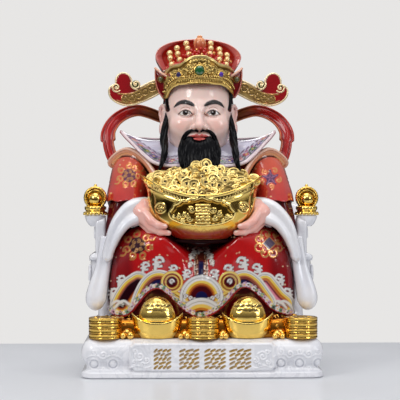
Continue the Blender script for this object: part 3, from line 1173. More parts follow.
def paint_robe(b):
    U, V = b.U, b.V
    # the shadowed hollow under the bowl and the dark turn of the cloth at each side
    off = np.abs(U - 201.5)
    floor_ = np.interp(off, [0, 9, 18, 30, 38, 44, 60], [259, 255, 249.5, 243.5, 237, 230, 222])
    b.put((1 - step(-3.5, 3.0, V - floor_)) * (off < 62), srgb(26, 2, 6), 0, None)
    b.put(0.62 * step(62, 80, off) * step(236, 262, V), srgb(96, 2, 16), 0, None)
    b.put(0.85 * step(84, 97, off), srgb(60, 2, 12), 0, None)
    b.put(0.5 * bell(off - 73, 5) * step(228, 240, V), srgb(92, 2, 12), 0, None)
    # sprinkled gilt dots on the plain red
    rr = np.random.default_rng(5)
    for _ in range(110):
        u, v = rr.uniform(108, 296), rr.uniform(226, 285)
        b.disc(u, v, rr.uniform(0.45, 0.75), srgb(232, 200, 160), 0.1, 0.2, 0.4)
    cloud(b, 137.5, 245.5, 14.6, srgb(222, 158, 84), srgb(52, 24, 34), seed=4)
    medallion(b, 269, 243.5, 14.8, srgb(226, 168, 96), SLATE, -1)
    # foam that rises above the waves
    for u, v, s, hand in ((122, 279, 4.6, 1), (146, 265.5, 4.6, 1), (159.5, 261, 6.0, 1), (174, 268.5, 4.6, 1), (187.5, 273, 4.4, 1), (213.8, 273, 4.4, -1), (228, 268.5, 5.0, -1), (241.5, 261.5, 6.0, -1), (256.5, 267.5, 5.0, -1), (279, 278, 4.8, -1), (114.5, 292, 5.0, 1), (287, 292, 5.0, -1)):
        curl(b, u, v, s, hand)
    # the cliff between the knees with spray on top
    cliff = (1 - step(6.6, 7.2, np.abs(U - 201))) * step(252, 254, V) * (1 - step(277, 280, V))
    b.put(cliff, srgb(104, 40, 26), 0, 0.5)
    b.put((1 - step(0.35, 0.8, np.abs(np.abs(U - 201) - 6.6))) * (cliff > 0.3), srgb(206, 190, 170), 0, 0.6)
    for k in (-4.2, 4.2):
        b.put((1 - step(0.35, 0.8, np.abs(U - 201 - k - 0.5 * np.sin(V * 0.7)))) * (cliff > 0.5), srgb(196, 150, 116), 0, 0.7)
    b.put((1 - step(2.0, 2.6, np.abs(U - 201))) * step(261, 264, V) * (cliff > 0.5), ENAMEL_BLUE, 0, 0.3)
    for v in (259, 264, 269, 274):
        b.put((1 - step(0.3, 0.8, np.abs(V - v - 0.6 * np.abs(U - 201) * 0.5))) * (cliff > 0.5) * (np.abs(U - 201) > 2.2), srgb(60, 26, 20), 0, 0.3)
    for u, v, s, hand in ((196, 250.5, 3.6, 1), (206, 250.5, 3.6, -1), (201.5, 248.6, 3.8, 1), (192.5, 256, 3.2, 1), (209.6, 256, 3.2, -1), (211.5, 262, 2.6, -1), (191, 264, 2.4, 1)):
        curl(b, u, v, s, hand, col=srgb(244, 238, 228))
    # outer side waves, then inner ones, spirals and the middle arch over them
    ribbon(b, [(121.5, 304), (125, 297), (131, 288.5), (138.5, 283)], WAVE_BANDS)
    ribbon(b, [(265, 284), (270.5, 291), (276.5, 298.5), (283, 304)], WAVE_BANDS[:-2] + [(3.6, srgb(120, 30, 40), 0.2), (1.8, ENAMEL_PINK, 0.3)])
    for uu, hh in ((113, 1), (119, 1), (288, -1), (282, -1)):
        b.line([(uu - 4 * hh, 308), (uu, 303), (uu + 5 * hh, 301), (uu + 10 * hh, 304)], 2.2, ENAMEL_WHITE, 0, 0.35, n=12)
        b.line([(uu - 4 * hh, 310), (uu, 305.6), (uu + 5 * hh, 303.6), (uu + 10 * hh, 306.6)], 0.7, ENAMEL_GREY, 0, 0.1, n=12)
    ribbon(b, [(142, 306), (144.5, 298), (149.5, 288), (156, 282), (163, 282.5), (168, 289)], WAVE_BANDS[:-1] + [(2.8, ENAMEL_RED, 0.1), (1.6, ENAMEL_BLUE, 0.1)])
    ribbon(b, [(235, 290), (238.5, 283.5), (245, 281.5), (252, 286), (258.5, 294.5), (264.5, 303)], WAVE_BANDS[:-1] + [(2.8, ENAMEL_RED, 0.1), (1.5, ENAMEL_BLUE, 0.1)])
    b.line([(153, 291), (157, 287), (162, 286)], 4.2, ENAMEL_BLUE, 0, 0.05, n=10)
    b.line([(238.5, 286.5), (243.5, 285.6), (248, 289)], 4.2, ENAMEL_BLUE, 0, 0.05, n=10)
    for u, hand in ((172, 1), (229.6, -1)):
        # the tail of each spiral runs down beside the middle arch
        tail = [(u - 7 * hand, 289), (u - 1 * hand, 294), (u + 6 * hand, 298), (u + 13 * hand, 304), (u + 18 * hand, 309)]
        d, _ = b.to(curve(tail, 20), 9)
        banded(b, d, 1.0, [(5.4, ENAMEL_OCHRE, 0.3), (4.6, ENAMEL_YELLOW, 0.38), (2.2, ENAMEL_BROWN, 0.3), (1.2, ENAMEL_YELLOW, 0.36)])
        r = np.hypot(U - u, V - 282)
        banded(b, r, 1.0, [(11.2, ENAMEL_OCHRE, 0.1), (10.7, srgb(230, 204, 104), 0.5), (8.9, srgb(132, 48, 18), 0.3), (7.0, srgb(222, 190, 92), 0.42), (5.9, srgb(120, 26, 20), 0.2), (5.0, ENAMEL_RED, 0.0)])
        curl(b, u, 281.4, 3.1, hand, stem=False)
    # middle arch
    r = np.hypot(U - 201.5, (V - 297.5) * 0.97)
    up = 1 - step(300, 303, V)
    banded(b, r, up, [(22.0, ENAMEL_GREY, 0.1), (21.5, ENAMEL_WHITE, 0.4), (19.2, ENAMEL_GREY, 0.15), (18.5, ENAMEL_WHITE, 0.45), (16.4, ENAMEL_YELLOW, 0.5), (13.9, ENAMEL_OCHRE, 0.4), (12.2, ENAMEL_BROWN, 0.25), (10.8, ENAMEL_RED, 0.1), (6.0, ENAMEL_BLUE, 0.05)])
    for u, v, q, hand in ((186.0, 296.4, 2.6, 1), (190.6, 298.0, 2.3, 1), (194.6, 299.0, 1.7, 1), (217.0, 296.4, 2.6, -1), (212.4, 298.0, 2.3, -1), (208.4, 299.0, 1.7, -1)):
        curl(b, u, v, q, hand, stem=False)
    low = np.hypot(U - 201.5, (V - 323) * 0.98)
    lowin = step(296.5, 298.5, V) * (1 - step(26, 29, np.abs(U - 201.5)))
    banded(b, low, lowin, [(25.0, ENAMEL_GREY, 0.1), (24.4, ENAMEL_WHITE, 0.45), (21.4, ENAMEL_GREY, 0.15), (20.8, ENAMEL_WHITE, 0.45), (18.6, ENAMEL_YELLOW, 0.5), (15.2, ENAMEL_OCHRE, 0.35), (12.6, ENAMEL_RED, 0.1)])
    for u, v, h in ((176, 303, 1), (226.5, 303, -1), (182, 309, 1), (221, 309, -1)):
        b.line([(u - 4 * h, v - 2), (u, v), (u + 5 * h, v + 1)], 1.3, ENAMEL_WHITE, 0, 0.4, n=8)
    # flowered border along the hem
    hem = curve(HEM, 160)
    d, _ = b.to(hem, 12)
    above = np.interp(U, hem[:, 0], hem[:, 1]) > V
    b.put((1 - step(4.9, 5.4, d)) * above, srgb(112, 14, 30), 0, 0.1)
    off = hem.copy()
    n = np.gradient(hem, axis=0)
    n = np.stack([n[:, 1], -n[:, 0]], -1) / np.linalg.norm(n, axis=1, keepdims=True)
    n[n[:, 1] > 0] *= -1
    florets(b, hem + n * 3.5, 3.4, 2.15, (srgb(222, 214, 222), srgb(104, 150, 118), srgb(212, 176, 196), srgb(222, 214, 222), srgb(196, 150, 178), srgb(226, 220, 214), srgb(70, 104, 92)), 3)
    florets(b, hem + n * 5.2, 5.1, 1.0, (ENAMEL_WHITE, srgb(196, 150, 178), srgb(150, 178, 150)), 8)
    b.put((1 - step(1.0, 1.6, d)), srgb(150, 10, 26), 0, 0.3)


def robe_piece():
    n = 560
    cx, cy = superloop(6000, 2.9, 100, 60)
    # close together along the front half, sparse behind
    ang = np.arctan2(cy, cx)
    front = np.flatnonzero(cy < 0.02)
    back = np.flatnonzero(cy >= 0.02)
    order = np.argsort(-np.where(ang > PI / 2, ang - 2 * PI, ang))
    i_f = front[np.argsort(np.arctan2(cy[front], cx[front]) % (2 * PI))]
    i_b = back[np.argsort(np.arctan2(cy[back], cx[back]) % (2 * PI))]
    i_f = i_f[np.linspace(0, len(i_f) - 1, 312).astype(int)]
    i_b = i_b[np.linspace(0, len(i_b) - 1, 40).astype(int)[1:-1]]
    idx = np.r_[i_b, i_f]
    cx, cy = cx[idx], cy[idx]
    h = np.r_[[-0.06, -0.045, -0.02, -0.006], np.linspace(0, 0.56, 94)[:-1], np.linspace(0.56, 0.985, 42), np.linspace(1.0, 1.6, 9)]
    hw = pchip([[-0.06, 94], [-0.045, 104.0], [-0.02, 107.2], [0, 108.2], [0.1, 108.4], [0.3, 108.0], [0.5, 106.6], [0.62, 105], [0.74, 102.6], [0.84, 97.5], [0.92, 90], [0.97, 83], [1.0, 76], [1.1, 68], [1.6, 54]], h)
    yf = pchip([[-0.06, -48], [-0.045, -58], [-0.02, -61.5], [0, -62.5], [0.03, -64], [0.12, -65], [0.3, -66.5], [0.6, -70.5], [0.78, -72.5], [0.88, -70.5], [0.95, -65], [1.0, -56], [1.1, -42], [1.3, -16], [1.6, 6]], h)
    yb = pchip([[-0.06, 10], [0, 20], [0.6, 26], [1, 34], [1.6, 26]], h)
    val = pchip([[0, 0], [0.25, 0.5], [0.45, 4], [0.62, 10], [0.78, 19], [0.9, 28], [1.0, 34], [1.3, 30], [1.6, 10]], h)
    vw = pchip([[0, 26], [0.5, 24], [0.8, 25], [1, 30], [1.6, 40]], h)
    ex = pchip([[-0.06, 5.0], [0, 5.4], [0.3, 5.0], [0.6, 3.9], [0.8, 3.0], [1.6, 2.9]], h)[:, None]
    cy = np.sign(cy) * np.clip(1 - np.abs(cx) ** ex, 0, 1) ** (1 / ex)
    X = hw[:, None] * cx
    fr = (cy < 0).astype(float)
    Y = np.where(cy < 0, -8 + cy * (-8 - yf[:, None]), -8 + cy * (yb[:, None] + 8))
    ax = np.abs(X)
    k = (1500 - 64) / 1274
    hz = np.interp(201.6 + X / k, [p[0] for p in HEM], [p[1] for p in HEM])
    hem_c = curve(HEM, 200)
    hz = 197 - (np.interp(201.6 + X / k, hem_c[:, 0], hem_c[:, 1]) - 200) * k
    side = np.abs(cy) ** 0.3 * fr
    low = mix(70.0, hz, np.clip(side, 0, 1))
    top = 168 - 27 * np.exp(-((ax / 27.0) ** 2.3))
    hh = np.clip(h, 0, 1)[:, None]
    Z = mix(low, top, hh)
    Z = np.where(h[:, None] < 0, low + np.clip(-h[:, None] - 0.02, 0, 1) * 70 + np.where(h[:, None] < -0.01, 0, 0.4), Z)
    over = np.clip(h - 1, 0, 1)[:, None]
    Z = Z + np.where(h[:, None] > 1, 2.5 * np.sin(over * 5) - 22 * over**1.5 + over * 20 * bell(X, 30), 0)
    Y = Y + fr * (val[:, None] * bell(X, vw[:, None]))
    # soft folds: broad ones down the front, a lifted hem edge and creases from the knees to the middle
    Y = Y + fr * np.clip(1 - hh, 0, 1) * (1.0 * np.cos(ax * 0.16 + 0.5) + 0.6 * np.cos(ax * 0.33 + hh * 3)) * (np.abs(cy) ** 0.5)
    Y = Y - fr * 1.2 * bell(h[:, None], 0.025)
    X = X + np.sign(X) * (1 - np.abs(cy) ** 2) * 1.1 * np.cos(Z * 0.11 + Y * 0.12) * np.clip(1 - hh, 0, 1)
    R = np.stack([X, Y, Z], -1)
    V, F = loft(R)
    U_, V_ = seen(V)
    # creases
    for pts, w, a in ((((164, 240), (176, 249), (188, 257), (201, 263)), 4.0, 1.5), (((238, 240), (227, 249), (214, 257), (201, 263)), 4.0, 1.5), (((172, 236), (186, 246), (201, 252)), 3.2, 1.2), (((230, 236), (216, 246), (201, 252)), 3.2, 1.2)):
        q = Brush(np.where(V[:, 1] < -20, U_, -900), V_, (0, 0, 0))
        d, _ = q.to(curve(pts, 16), 14)
        V[:, 1] -= a * bell(d, w)
        V[:, 2] += 0.5 * a * bell(d, w)
    N = normals(V, F)
    if signed_volume(V, F) < 0:
        F = flipped(F)
        N = -N
    isf = (N[:, 1] < -0.12) & (V[:, 1] < -14)
    base = np.zeros((len(V), 4))
    tone = np.clip((V[:, 2] - 60) / 110, 0, 1)[:, None]
    base[:, :3] = np.array(srgb(172, 10, 22)) * (1 - tone) + np.array(srgb(190, 22, 22)) * tone
    under = np.arange(len(V)) < 4 * len(cx)
    under[-2:] = True
    base[under, :3] = srgb(96, 4, 14)
    b = Brush(np.where(isf & ~under, U_, -900), V_, base)
    paint_robe(b)
    V = V + N * (b.h * 1.1)[:, None]
    s = Soup()
    s.add((V, F), b.c)
    # the dark lining that hangs inside the hem
    n_ = 240
    lx, ly = superloop(n_, 4.0, 102, 9)
    rows = []
    for z, k in ((45, 0.99), (46, 1.0), (70, 1.0), (96, 1.0), (118, 0.98), (122, 0.96)):
        rows.append(np.stack([lx * 102 * k, -44.5 + ly * 8.5 + 1.2 * np.cos(lx * 15) * (ly < 0), np.full(n_, z)], -1))
    s.add(loft(np.asarray(rows)), (*srgb(104, 4, 14), 0.0))
    # folded dark cloth that the bowl rests on
    s.add(egg((0, -56, 151.0), (36, 17, 3.2), 60, 24), (*srgb(30, 2, 6), 0.0), mat=1)
    return s


robe_soup = robe_piece()
M_dull = material("dull_dark_cloth", rough=0.7, spec=0.1, var=0.2, size=200, rvar=0.08, bump=0.1, bsize=600)
robe_soup.build("robe_skirt", [M_enamel, M_dull], "red_glaze", ("figure",), sharp=75)


# ------------------------------------------------------------------ body, sleeves, cuffs, collar and sash
def folds(V, N, F, amp, size, seed):
    return V + N * (amp * grain(V, size, seed))[:, None]


def outward(V, F):
    if signed_volume(V, F) < 0:
        F = flipped(F)
    return V, F, normals(V, F)


def torso_piece():
    """The robe's upper body, seen between the arms and from behind."""
    lv = [[128, 74, 34, 22], [145, 70, 36, 18], [165, 64, 36, 15], [190, 61, 36, 12], [215, 62, 36, 9], [232, 64, 34, 8], [244, 58, 31, 6], [254, 44, 28, 4], [264, 30, 25, 2], [276, 25, 23, 0], [284, 23, 21, 0]]
    z = np.linspace(128, 284, 90)
    q = pchip(lv, z)
    n = 200
    cx, cy = superloop(n, 2.4, 1.6, 1)
    X = cx[None] * q[:, :1]
    Y = q[:, 2:3] + cy[None] * q[:, 1:2]
    Z = np.broadcast_to(z[:, None], X.shape).copy()
    # folds that fall from the shoulders over the back
    k = (cy > 0)[None] * (1 - step(228, 262, Z))
    Y = Y + k * (1.3 * np.cos(X * 0.20 + 0.4 * np.sin(Z * 0.03)) + 0.7 * np.cos(X * 0.47 + Z * 0.01)) * np.abs(cy)[None]
    V, F = loft(np.stack([X, Y, Z], -1))
    V, F, N = outward(V, F)
    base = np.zeros((len(V), 4))
    base[:, :3] = RED_WARM
    base[:, :3] = mix(np.array(RED), np.array(RED_WARM), step(150, 250, V[:, 2])[:, None])
    b = Brush(np.where(N[:, 1] > 0.2, V[:, 0] / 1.17 + 200, -900), (197 - V[:, 2]) / 1.17 + 200, base)
    medallion(b, 200, 168, 15, srgb(224, 176, 100), SLATE)
    for u in (164, 236):
        medallion(b, u, 178, 9.5, srgb(224, 176, 100), SLATE)
    rr = np.random.default_rng(3)
    for _ in range(90):
        b.disc(rr.uniform(140, 260), rr.uniform(140, 250), rr.uniform(0.5, 0.9), srgb(236, 186, 130), 0.4, 0.2)
    V = V + N * b.h[:, None]
    V[:, 0] += lean(V[:, 2])
    s = Soup()
    s.add((V, F), b.c)
    s.build("robe_body", M_enamel, "red_glaze", ("figure",), sharp=60)


torso_piece()


def sleeve_mesh():
    """The wide red sleeve of the viewer's left, hollow at its mouth."""
    keys = [[0, -70, 4, 256, 10, 12], [0.04, -73, 3, 255.5, 17, 20], [0.12, -76, 1, 251, 20.5, 24], [0.26, -79, -1, 243, 21.8, 27], [0.45, -81.8, -4, 231, 22.4, 30], [0.66, -84.0, -9, 217, 22.6, 33], [0.85, -85.6, -14, 205, 23.2, 35], [1.0, -86.0, -17, 196.5, 23.6, 36.5]]
    t = np.linspace(0, 1, 76)
    q = pchip(keys, t)
    n = 156
    a = np.arange(n) / n * 2 * PI
    ex = 2.35
    c = np.sign(np.cos(a)) * np.abs(np.cos(a)) ** (2 / ex)
    s_ = np.sign(np.sin(a)) * np.abs(np.sin(a)) ** (2 / ex)

    def ring_(row, tt, inset=0.0, dz=0.0):
        _, x0, y0, z0, A, B = (0, *row)
        w = 1 + step(0.35, 1.0, tt) * (0.014 * np.cos(7 * a + 0.9) + 0.006 * np.cos(13 * a + 2.0)) * 1.0
        x = x0 + c * (A - inset) * w
        y = y0 + s_ * (B - inset) * w
        drop = step(0.4, 1.0, tt) * (-16 * np.clip(s_, 0, 1) ** 1.4 - 0.9 * np.cos(7 * a + 0.9) * tt)
        # the shoulder rises towards the neck
        lift = (1 - step(0.0, 0.6, tt)) * (x - x0) * 0.22
        return np.stack([x, y, z0 + drop + lift + dz], -1)

    rows = [ring_(r, tt) for r, tt in zip(q, t)]
    last = q[-1]
    rows += [ring_(last, 1.0, 0.5, -0.9), ring_(last, 1.0, 1.5, -1.2), ring_(last, 1.0, 2.6, -0.8)]
    for tt in np.linspace(1.0, 0.72, 14)[1:]:
        rows.append(ring_(pchip(keys, tt), tt, 3.2))
    V, F = loft(np.asarray(rows))
    return V, F, len(t) * n


def sleeve_piece():
    V0, F0, split = sleeve_mesh()
    s = Soup()
    for m in (1, -1):
        V, F = (V0 if m == 1 else across(V0)), F0
        V, F, N = outward(V, F)
        base = np.zeros((len(V), 4))
        t = step(196, 246, V[:, 2])[:, None]
        base[:, :3] = mix(np.array(srgb(186, 40, 34)), np.array(srgb(206, 78, 50)), t)
        base[split:, :3] = srgb(70, 4, 10)
        isf = (N[:, 1] < -0.1) & (np.arange(len(V)) < split)
        U_, V_ = seen(V)
        b = Brush(np.where(isf, U_, -900), V_, base)
        if m == 1:
            cloud(b, 129, 175.5, 12.0, srgb(226, 156, 84), srgb(92, 40, 66), seed=2)
        else:
            star = [(270.5 + (9.0 if k % 2 == 0 else 4.2) * math.cos(k * PI / 5 - 0.4), 178 + (9.0 if k % 2 == 0 else 4.2) * math.sin(k * PI / 5 - 0.4)) for k in range(10)]
            b.put(inside(curve(star, 60, closed=True), np.stack([b.U, b.V], -1)) * 1.0, srgb(84, 40, 84), 0, 0.25)
            for k in range(5):
                a = k * 2 * PI / 5 - 0.4
                b.line(spiral(270.5 + 8.5 * math.cos(a + 0.63), 178 + 8.5 * math.sin(a + 0.63), 0.4, 2.9, 1.1, a, 16, 1 if k % 2 else -1), 1.0, srgb(226, 150, 86), 0.5, 0.35)
                b.line([(270.5 + 1.5 * math.cos(a), 178 + 1.5 * math.sin(a)), (270.5 + 6.5 * math.cos(a), 178 + 6.5 * math.sin(a))], 0.8, srgb(150, 92, 128), 0, 0.3)
        rim = line_at([(110.6, 168, -20), (113.2, 162.4, -20), (117.6, 158.4, -20), (123, 156.4, -20), (129, 156.2, -20), (135.4, 158.6, -20), (141.6, 164, -20), (147, 172, -20), (150.5, 181, -20)])
        rim = rim if m == 1 else across(rim)
        ru, rv = seen(rim)
        inside_rim = curve(list(zip(ru, rv)), 40)
        b.line([tuple(p - [0, 2.6]) for p in inside_rim], 5.0, srgb(226, 150, 104), 0, 0.9, n=40)
        b.line([tuple(p) for p in inside_rim], 1.3, srgb(70, 8, 8), 0, -0.4, n=40)
        rr = np.random.default_rng(9)
        for _ in range(26):
            b.disc(rr.uniform(110, 292), rr.uniform(160, 200), rr.uniform(0.4, 0.7), srgb(236, 186, 130), 0.3, 0.2)
        # the same lozenge work on the outer side and back of the sleeve
        out_ = (np.arange(len(V)) < split) & (N[:, 1] >= -0.1)
        b2 = Brush(np.where(out_ & (N[:, 0] * m < -0.3), V[:, 1] / 1.17 + 200, -900), (197 - V[:, 2]) / 1.17 + 200, b.c)
        medallion(b2, 197, 176, 12, srgb(222, 160, 96), srgb(90, 50, 60))
        # a rolled edge round the mouth
        V = V + N * (b.h + b2.h)[:, None] + N * (0.25 * grain(V, 16, 2))[:, None]
        s.add((V, F), b2.c)
    # dark inner sleeves that hang behind the cuffs
    path = np.array([[-84, -20, 206], [-89, -24, 192], [-93, -27, 178], [-96, -30, 164], [-98, -33, 150], [-99, -35, 138]], float)
    p = curve(path, 40)
    hw = np.linspace(0, 1, 40)
    A, B = pchip([[0, 18], [0.4, 15], [1, 10]], hw), pchip([[0, 24], [0.5, 20], [1, 13]], hw)
    k = np.sqrt(np.clip(1 - np.clip((hw - 0.85) / 0.152, 0, 1) ** 2, 0.02, 1))
    a = np.arange(60) / 60 * 2 * PI
    w = 1 + 0.05 * np.cos(6 * a)
    S = np.stack([np.cos(a)[None] * (A * k)[:, None] * w, np.sin(a)[None] * (B * k)[:, None] * w], -1)
    s.add(sweep(p, S, (0, 1, 0)), (*srgb(92, 6, 14), 0.0), mirror=True)
    s.build("sleeves_red", M_enamel, "red_glaze", ("figure",), sharp=60)


sleeve_piece()


def white_cloth(path, half, depth, n=84, rows=110, valley=0.4, cap=(0.05, 0.1), seed=0, wob=0.25):
    """A hanging sleeve end with a rolled edge on each side and a hollow between them."""
    P = curve(line_at(path), rows)
    t = np.linspace(0, 1, rows)
    hw = pchip(half, t) * 1.13
    dp = pchip(depth, t)
    kk = np.ones(rows)
    if cap[0]:
        kk = np.minimum(kk, np.sqrt(np.clip(1 - np.clip((cap[0] - t) / cap[0], 0, 1) ** 2, 0.004, 1)))
    if cap[1]:
        kk = np.minimum(kk, np.sqrt(np.clip(1 - np.clip((t - 1 + cap[1]) / cap[1], 0, 1) ** 2, 0.004, 1)))
    a = np.arange(n) / n * 2 * PI
    c, s_ = np.cos(a), np.sin(a)
    cs = np.sign(c) * np.abs(c) ** 0.85
    fr = s_ < 0
    prof = np.where(fr, np.abs(s_) ** 0.75, np.abs(s_) ** 0.9)
    v = valley if np.ndim(valley) else np.full(rows, valley)
    dip = 1 - v[:, None] * np.exp(-((cs[None] - 0.06) / 0.40) ** 2) * fr[None]
    X = cs[None] * hw[:, None] * kk[:, None]
    Y = np.sign(s_)[None] * prof[None] * dip * dp[:, None] * kk[:, None]
    U_, W_ = frames(P, (0, 1, 0))
    # front of the section faces the viewer: against W
    R = P[:, None] + X[..., None] * U_[:, None] + Y[..., None] * W_[:, None]
    V, F = loft(R)
    V, F, N = outward(V, F)
    V = V + N * (wob * grain(V, 20, seed) + wob * 0.5 * grain(V, 9, seed + 1))[:, None]
    return V, F


def white_sleeves():
    s = Soup()
    cuff = white_cloth(
        [(150, 210, -44), (143, 210, -49), (137, 210.8, -53), (130, 214.5, -56), (122, 221.4, -58), (115.2, 232.5, -58.5), (110.4, 245, -57.5), (107.8, 254, -56), (107.2, 262, -55)],
        [[0, 12.4], [0.12, 13.2], [0.26, 12.9], [0.42, 10.2], [0.6, 8.0], [0.8, 6.2], [0.94, 5.8], [1, 5.6]],
        [[0, 13], [0.3, 13.5], [0.6, 13], [1, 10]], valley=pchip([[0, 0.2], [0.3, 0.42], [0.7, 0.36], [1, 0.1]], np.linspace(0, 1, 110)), cap=(0.04, 0.09), seed=1)
    V, F = cuff
    c = np.zeros((len(V), 4))
    c[:, :3] = WHITE
    s.add((V, F), c, mirror=True)
    water = white_cloth(
        [(107, 236, -46), (105.0, 252, -47), (102.6, 268, -48), (99.6, 281, -49), (97.2, 291, -49.5), (95.8, 300, -50), (95.2, 310.4, -50)],
        [[0, 6.6], [0.18, 6.9], [0.4, 7.7], [0.6, 9.0], [0.78, 10.2], [0.9, 10.7], [1, 10.4]],
        [[0, 9], [0.5, 11], [1, 12.5]], valley=pchip([[0, 0.25], [0.6, 0.2], [0.85, 0.06], [1, 0.0]], np.linspace(0, 1, 110)), cap=(0.03, 0.2), seed=5)
    V, F = water
    c = np.zeros((len(V), 4))
    c[:, :3] = WHITE
    s.add((V, F), c, mirror=True)
    s.build("sleeves_white", M_cuff, "white_glaze", ("figure",), sharp=70)


M_cuff = material("white_cuff_glaze", rough=0.14, coat=0.7, coat_rough=0.03, var=0.03, size=45, rvar=0.04, bump=0.05, bsize=200, tint=(srgb(205, 210, 226), 0.45))
white_sleeves()


def collar_piece():
    n, m = 328, 42
    a = np.arange(n) / n * 2 * PI
    c, s_ = np.cos(a), np.sin(a)
    front = s_ < 0
    bk = step(-0.42, 0.30, s_)
    # plan: a rounded disc drawn out to a tip on each side
    R = mix(mix(39.5, 35.0, bk), 90.0, np.abs(c) ** 3.2)
    ex, ey = R * c, -3 + R * s_ * mix(1.04, 1.0, bk)
    ax = np.abs(ex)
    zf = pchip([[0, 237.0], [15, 236.6], [30, 236.4], [43, 237.6], [53, 241.0], [65, 251.0], [76, 262.6], [84, 271.0], [90, 278.6]], ax)
    zb = pchip([[0, 268], [20, 269], [40, 270.8], [60, 271.6], [76, 272.6], [84, 275], [90, 278.6]], ax)
    ze = np.where(front, zf, zb)
    u = np.linspace(0, 1, m)[:, None]
    nx, ny = 24.0 * c, -2 + 23.0 * s_
    zn = mix(266.0, 274.0, bk)
    sag = (4 * u * (1 - u)) * (mix(2.0, 6.0, bk) + 3.0 * np.abs(c) ** 2)
    X = nx + (ex - nx) * u
    Y = ny + (ey - ny) * u
    Z = zn + (ze - zn) * u ** mix(1.15, 0.9, bk) - sag
    # a wavering edge with small points
    G = np.stack([X, Y, Z], -1)
    V, F = slab(G[:, ::-1], 2.6 + 0 * X, wrap=True)
    V, F, N = outward(V, F)
    top = m * n
    arc = np.r_[0, np.cumsum(np.linalg.norm(np.diff(np.stack([ex, ey, ze], -1), axis=0), axis=1))]
    # paint on the top face in its own measure: along the edge, and in from it
    edge = np.stack([ex, ey, ze], -1)
    din = np.linalg.norm(G - edge[None], axis=-1)
    A = np.broadcast_to(arc[None], din.shape)[:, ::-1].ravel()
    D = din[:, ::-1].ravel()
    base = np.zeros((len(V), 4))
    base[:, :3] = srgb(206, 202, 222)
    b = Brush(np.r_[A, np.full(top, -900)], np.r_[D, np.full(top, 0)], base)
    b.put(1 - step(15.6, 16.2, b.V), srgb(184, 172, 194), 0, 0.15)
    b.put(1 - step(0.4, 0.8, np.abs(b.V - 16.0)), srgb(104, 88, 112), 0, 0.35)
    b.put(1 - step(0.4, 0.8, np.abs(b.V - 17.8)), srgb(120, 104, 124), 0, 0.2)
    b.put(1 - step(0.5, 0.9, np.abs(b.V - 3.4)), srgb(70, 54, 68), 0, 0.3)
    L = arc[-1]
    k = int(L / 12.5)
    for i in range(k):
        u0 = (i + 0.5) * L / k
        col = (srgb(168, 70, 96), srgb(64, 104, 74), srgb(88, 62, 128), srgb(190, 118, 122))[i % 4]
        for j in range(5):
            t = j / 5 * 2 * PI
            b.disc(u0 + 2.7 * math.cos(t), 9.2 + 2.7 * math.sin(t), 1.6, col, 0, 0.4)
        b.disc(u0, 9.2, 1.2, srgb(226, 196, 110), 0.3, 0.5)
        b.line(spiral(u0 + 6.2, 8.0, 0.4, 3.0, 1.3, i, 18), 0.95, srgb(52, 74, 60), 0, 0.35)
        b.line(spiral(u0 + 6.2, 13.0, 0.3, 1.8, 1.0, i + 2, 12), 0.85, srgb(150, 62, 88), 0, 0.3)
        b.disc(u0 + 3.2, 5.4, 1.0, srgb(60, 98, 70), 0, 0.35)
        b.disc(u0 - 3.2, 5.4, 1.0, srgb(96, 66, 130), 0, 0.35)
        b.disc(u0 + 0.2, 13.6, 1.0, srgb(222, 200, 206), 0, 0.35)
    b.put(1 - step(2.2, 2.8, b.V), srgb(226, 214, 218), 0, 0.6)
    # scrolls on the plain field
    for i in range(int(L / 17)):
        u0 = (i + 0.3) * 17
        b.line(spiral(u0, 23.0, 0.3, 2.8, 1.3, 0.5 * i, 16, 1 if i % 2 else -1), 0.8, srgb(232, 230, 240), 0, 0.35)
    V = V + N * (b.h * 0.9)[:, None]
    c4 = b.c
    c4[top:, :3] = srgb(150, 30, 34)
    s = Soup()
    s.add((V, F), c4)
    # a thin roll along the edge
    s.add(tube(edge + [0, 0, -1.0], 1.5, 10, (0, 0, 1), closed=True), (*srgb(222, 200, 204), 0.0))
    # white neck band under the beard
    nb = []
    for z, r, y0 in ((258, 29, -3), (264, 27.5, -3), (270, 26.2, -2), (276, 25.4, -1), (281, 25.0, 0), (282, 23.6, 0), (276, 22.5, 0), (262, 22.5, 0)):
        nb.append(np.stack([r * np.cos(a[::4]), y0 + r * 0.97 * np.sin(a[::4]), np.full(len(a[::4]), z)], -1))
    s.add(loft(np.asarray(nb)), (*srgb(226, 226, 234), 0.0))
    s.V = [v + np.stack([lean(v[:, 2]), 0 * v[:, 0], 0 * v[:, 0]], -1) for v in s.V]
    s.build("collar", M_collar, "white_glaze", ("figure",), sharp=50)


M_collar = material("collar_glaze", rough=0.17, coat=0.6, coat_rough=0.04, var=0.05, size=90, rvar=0.05, bump=0.05, bsize=260)
collar_piece()


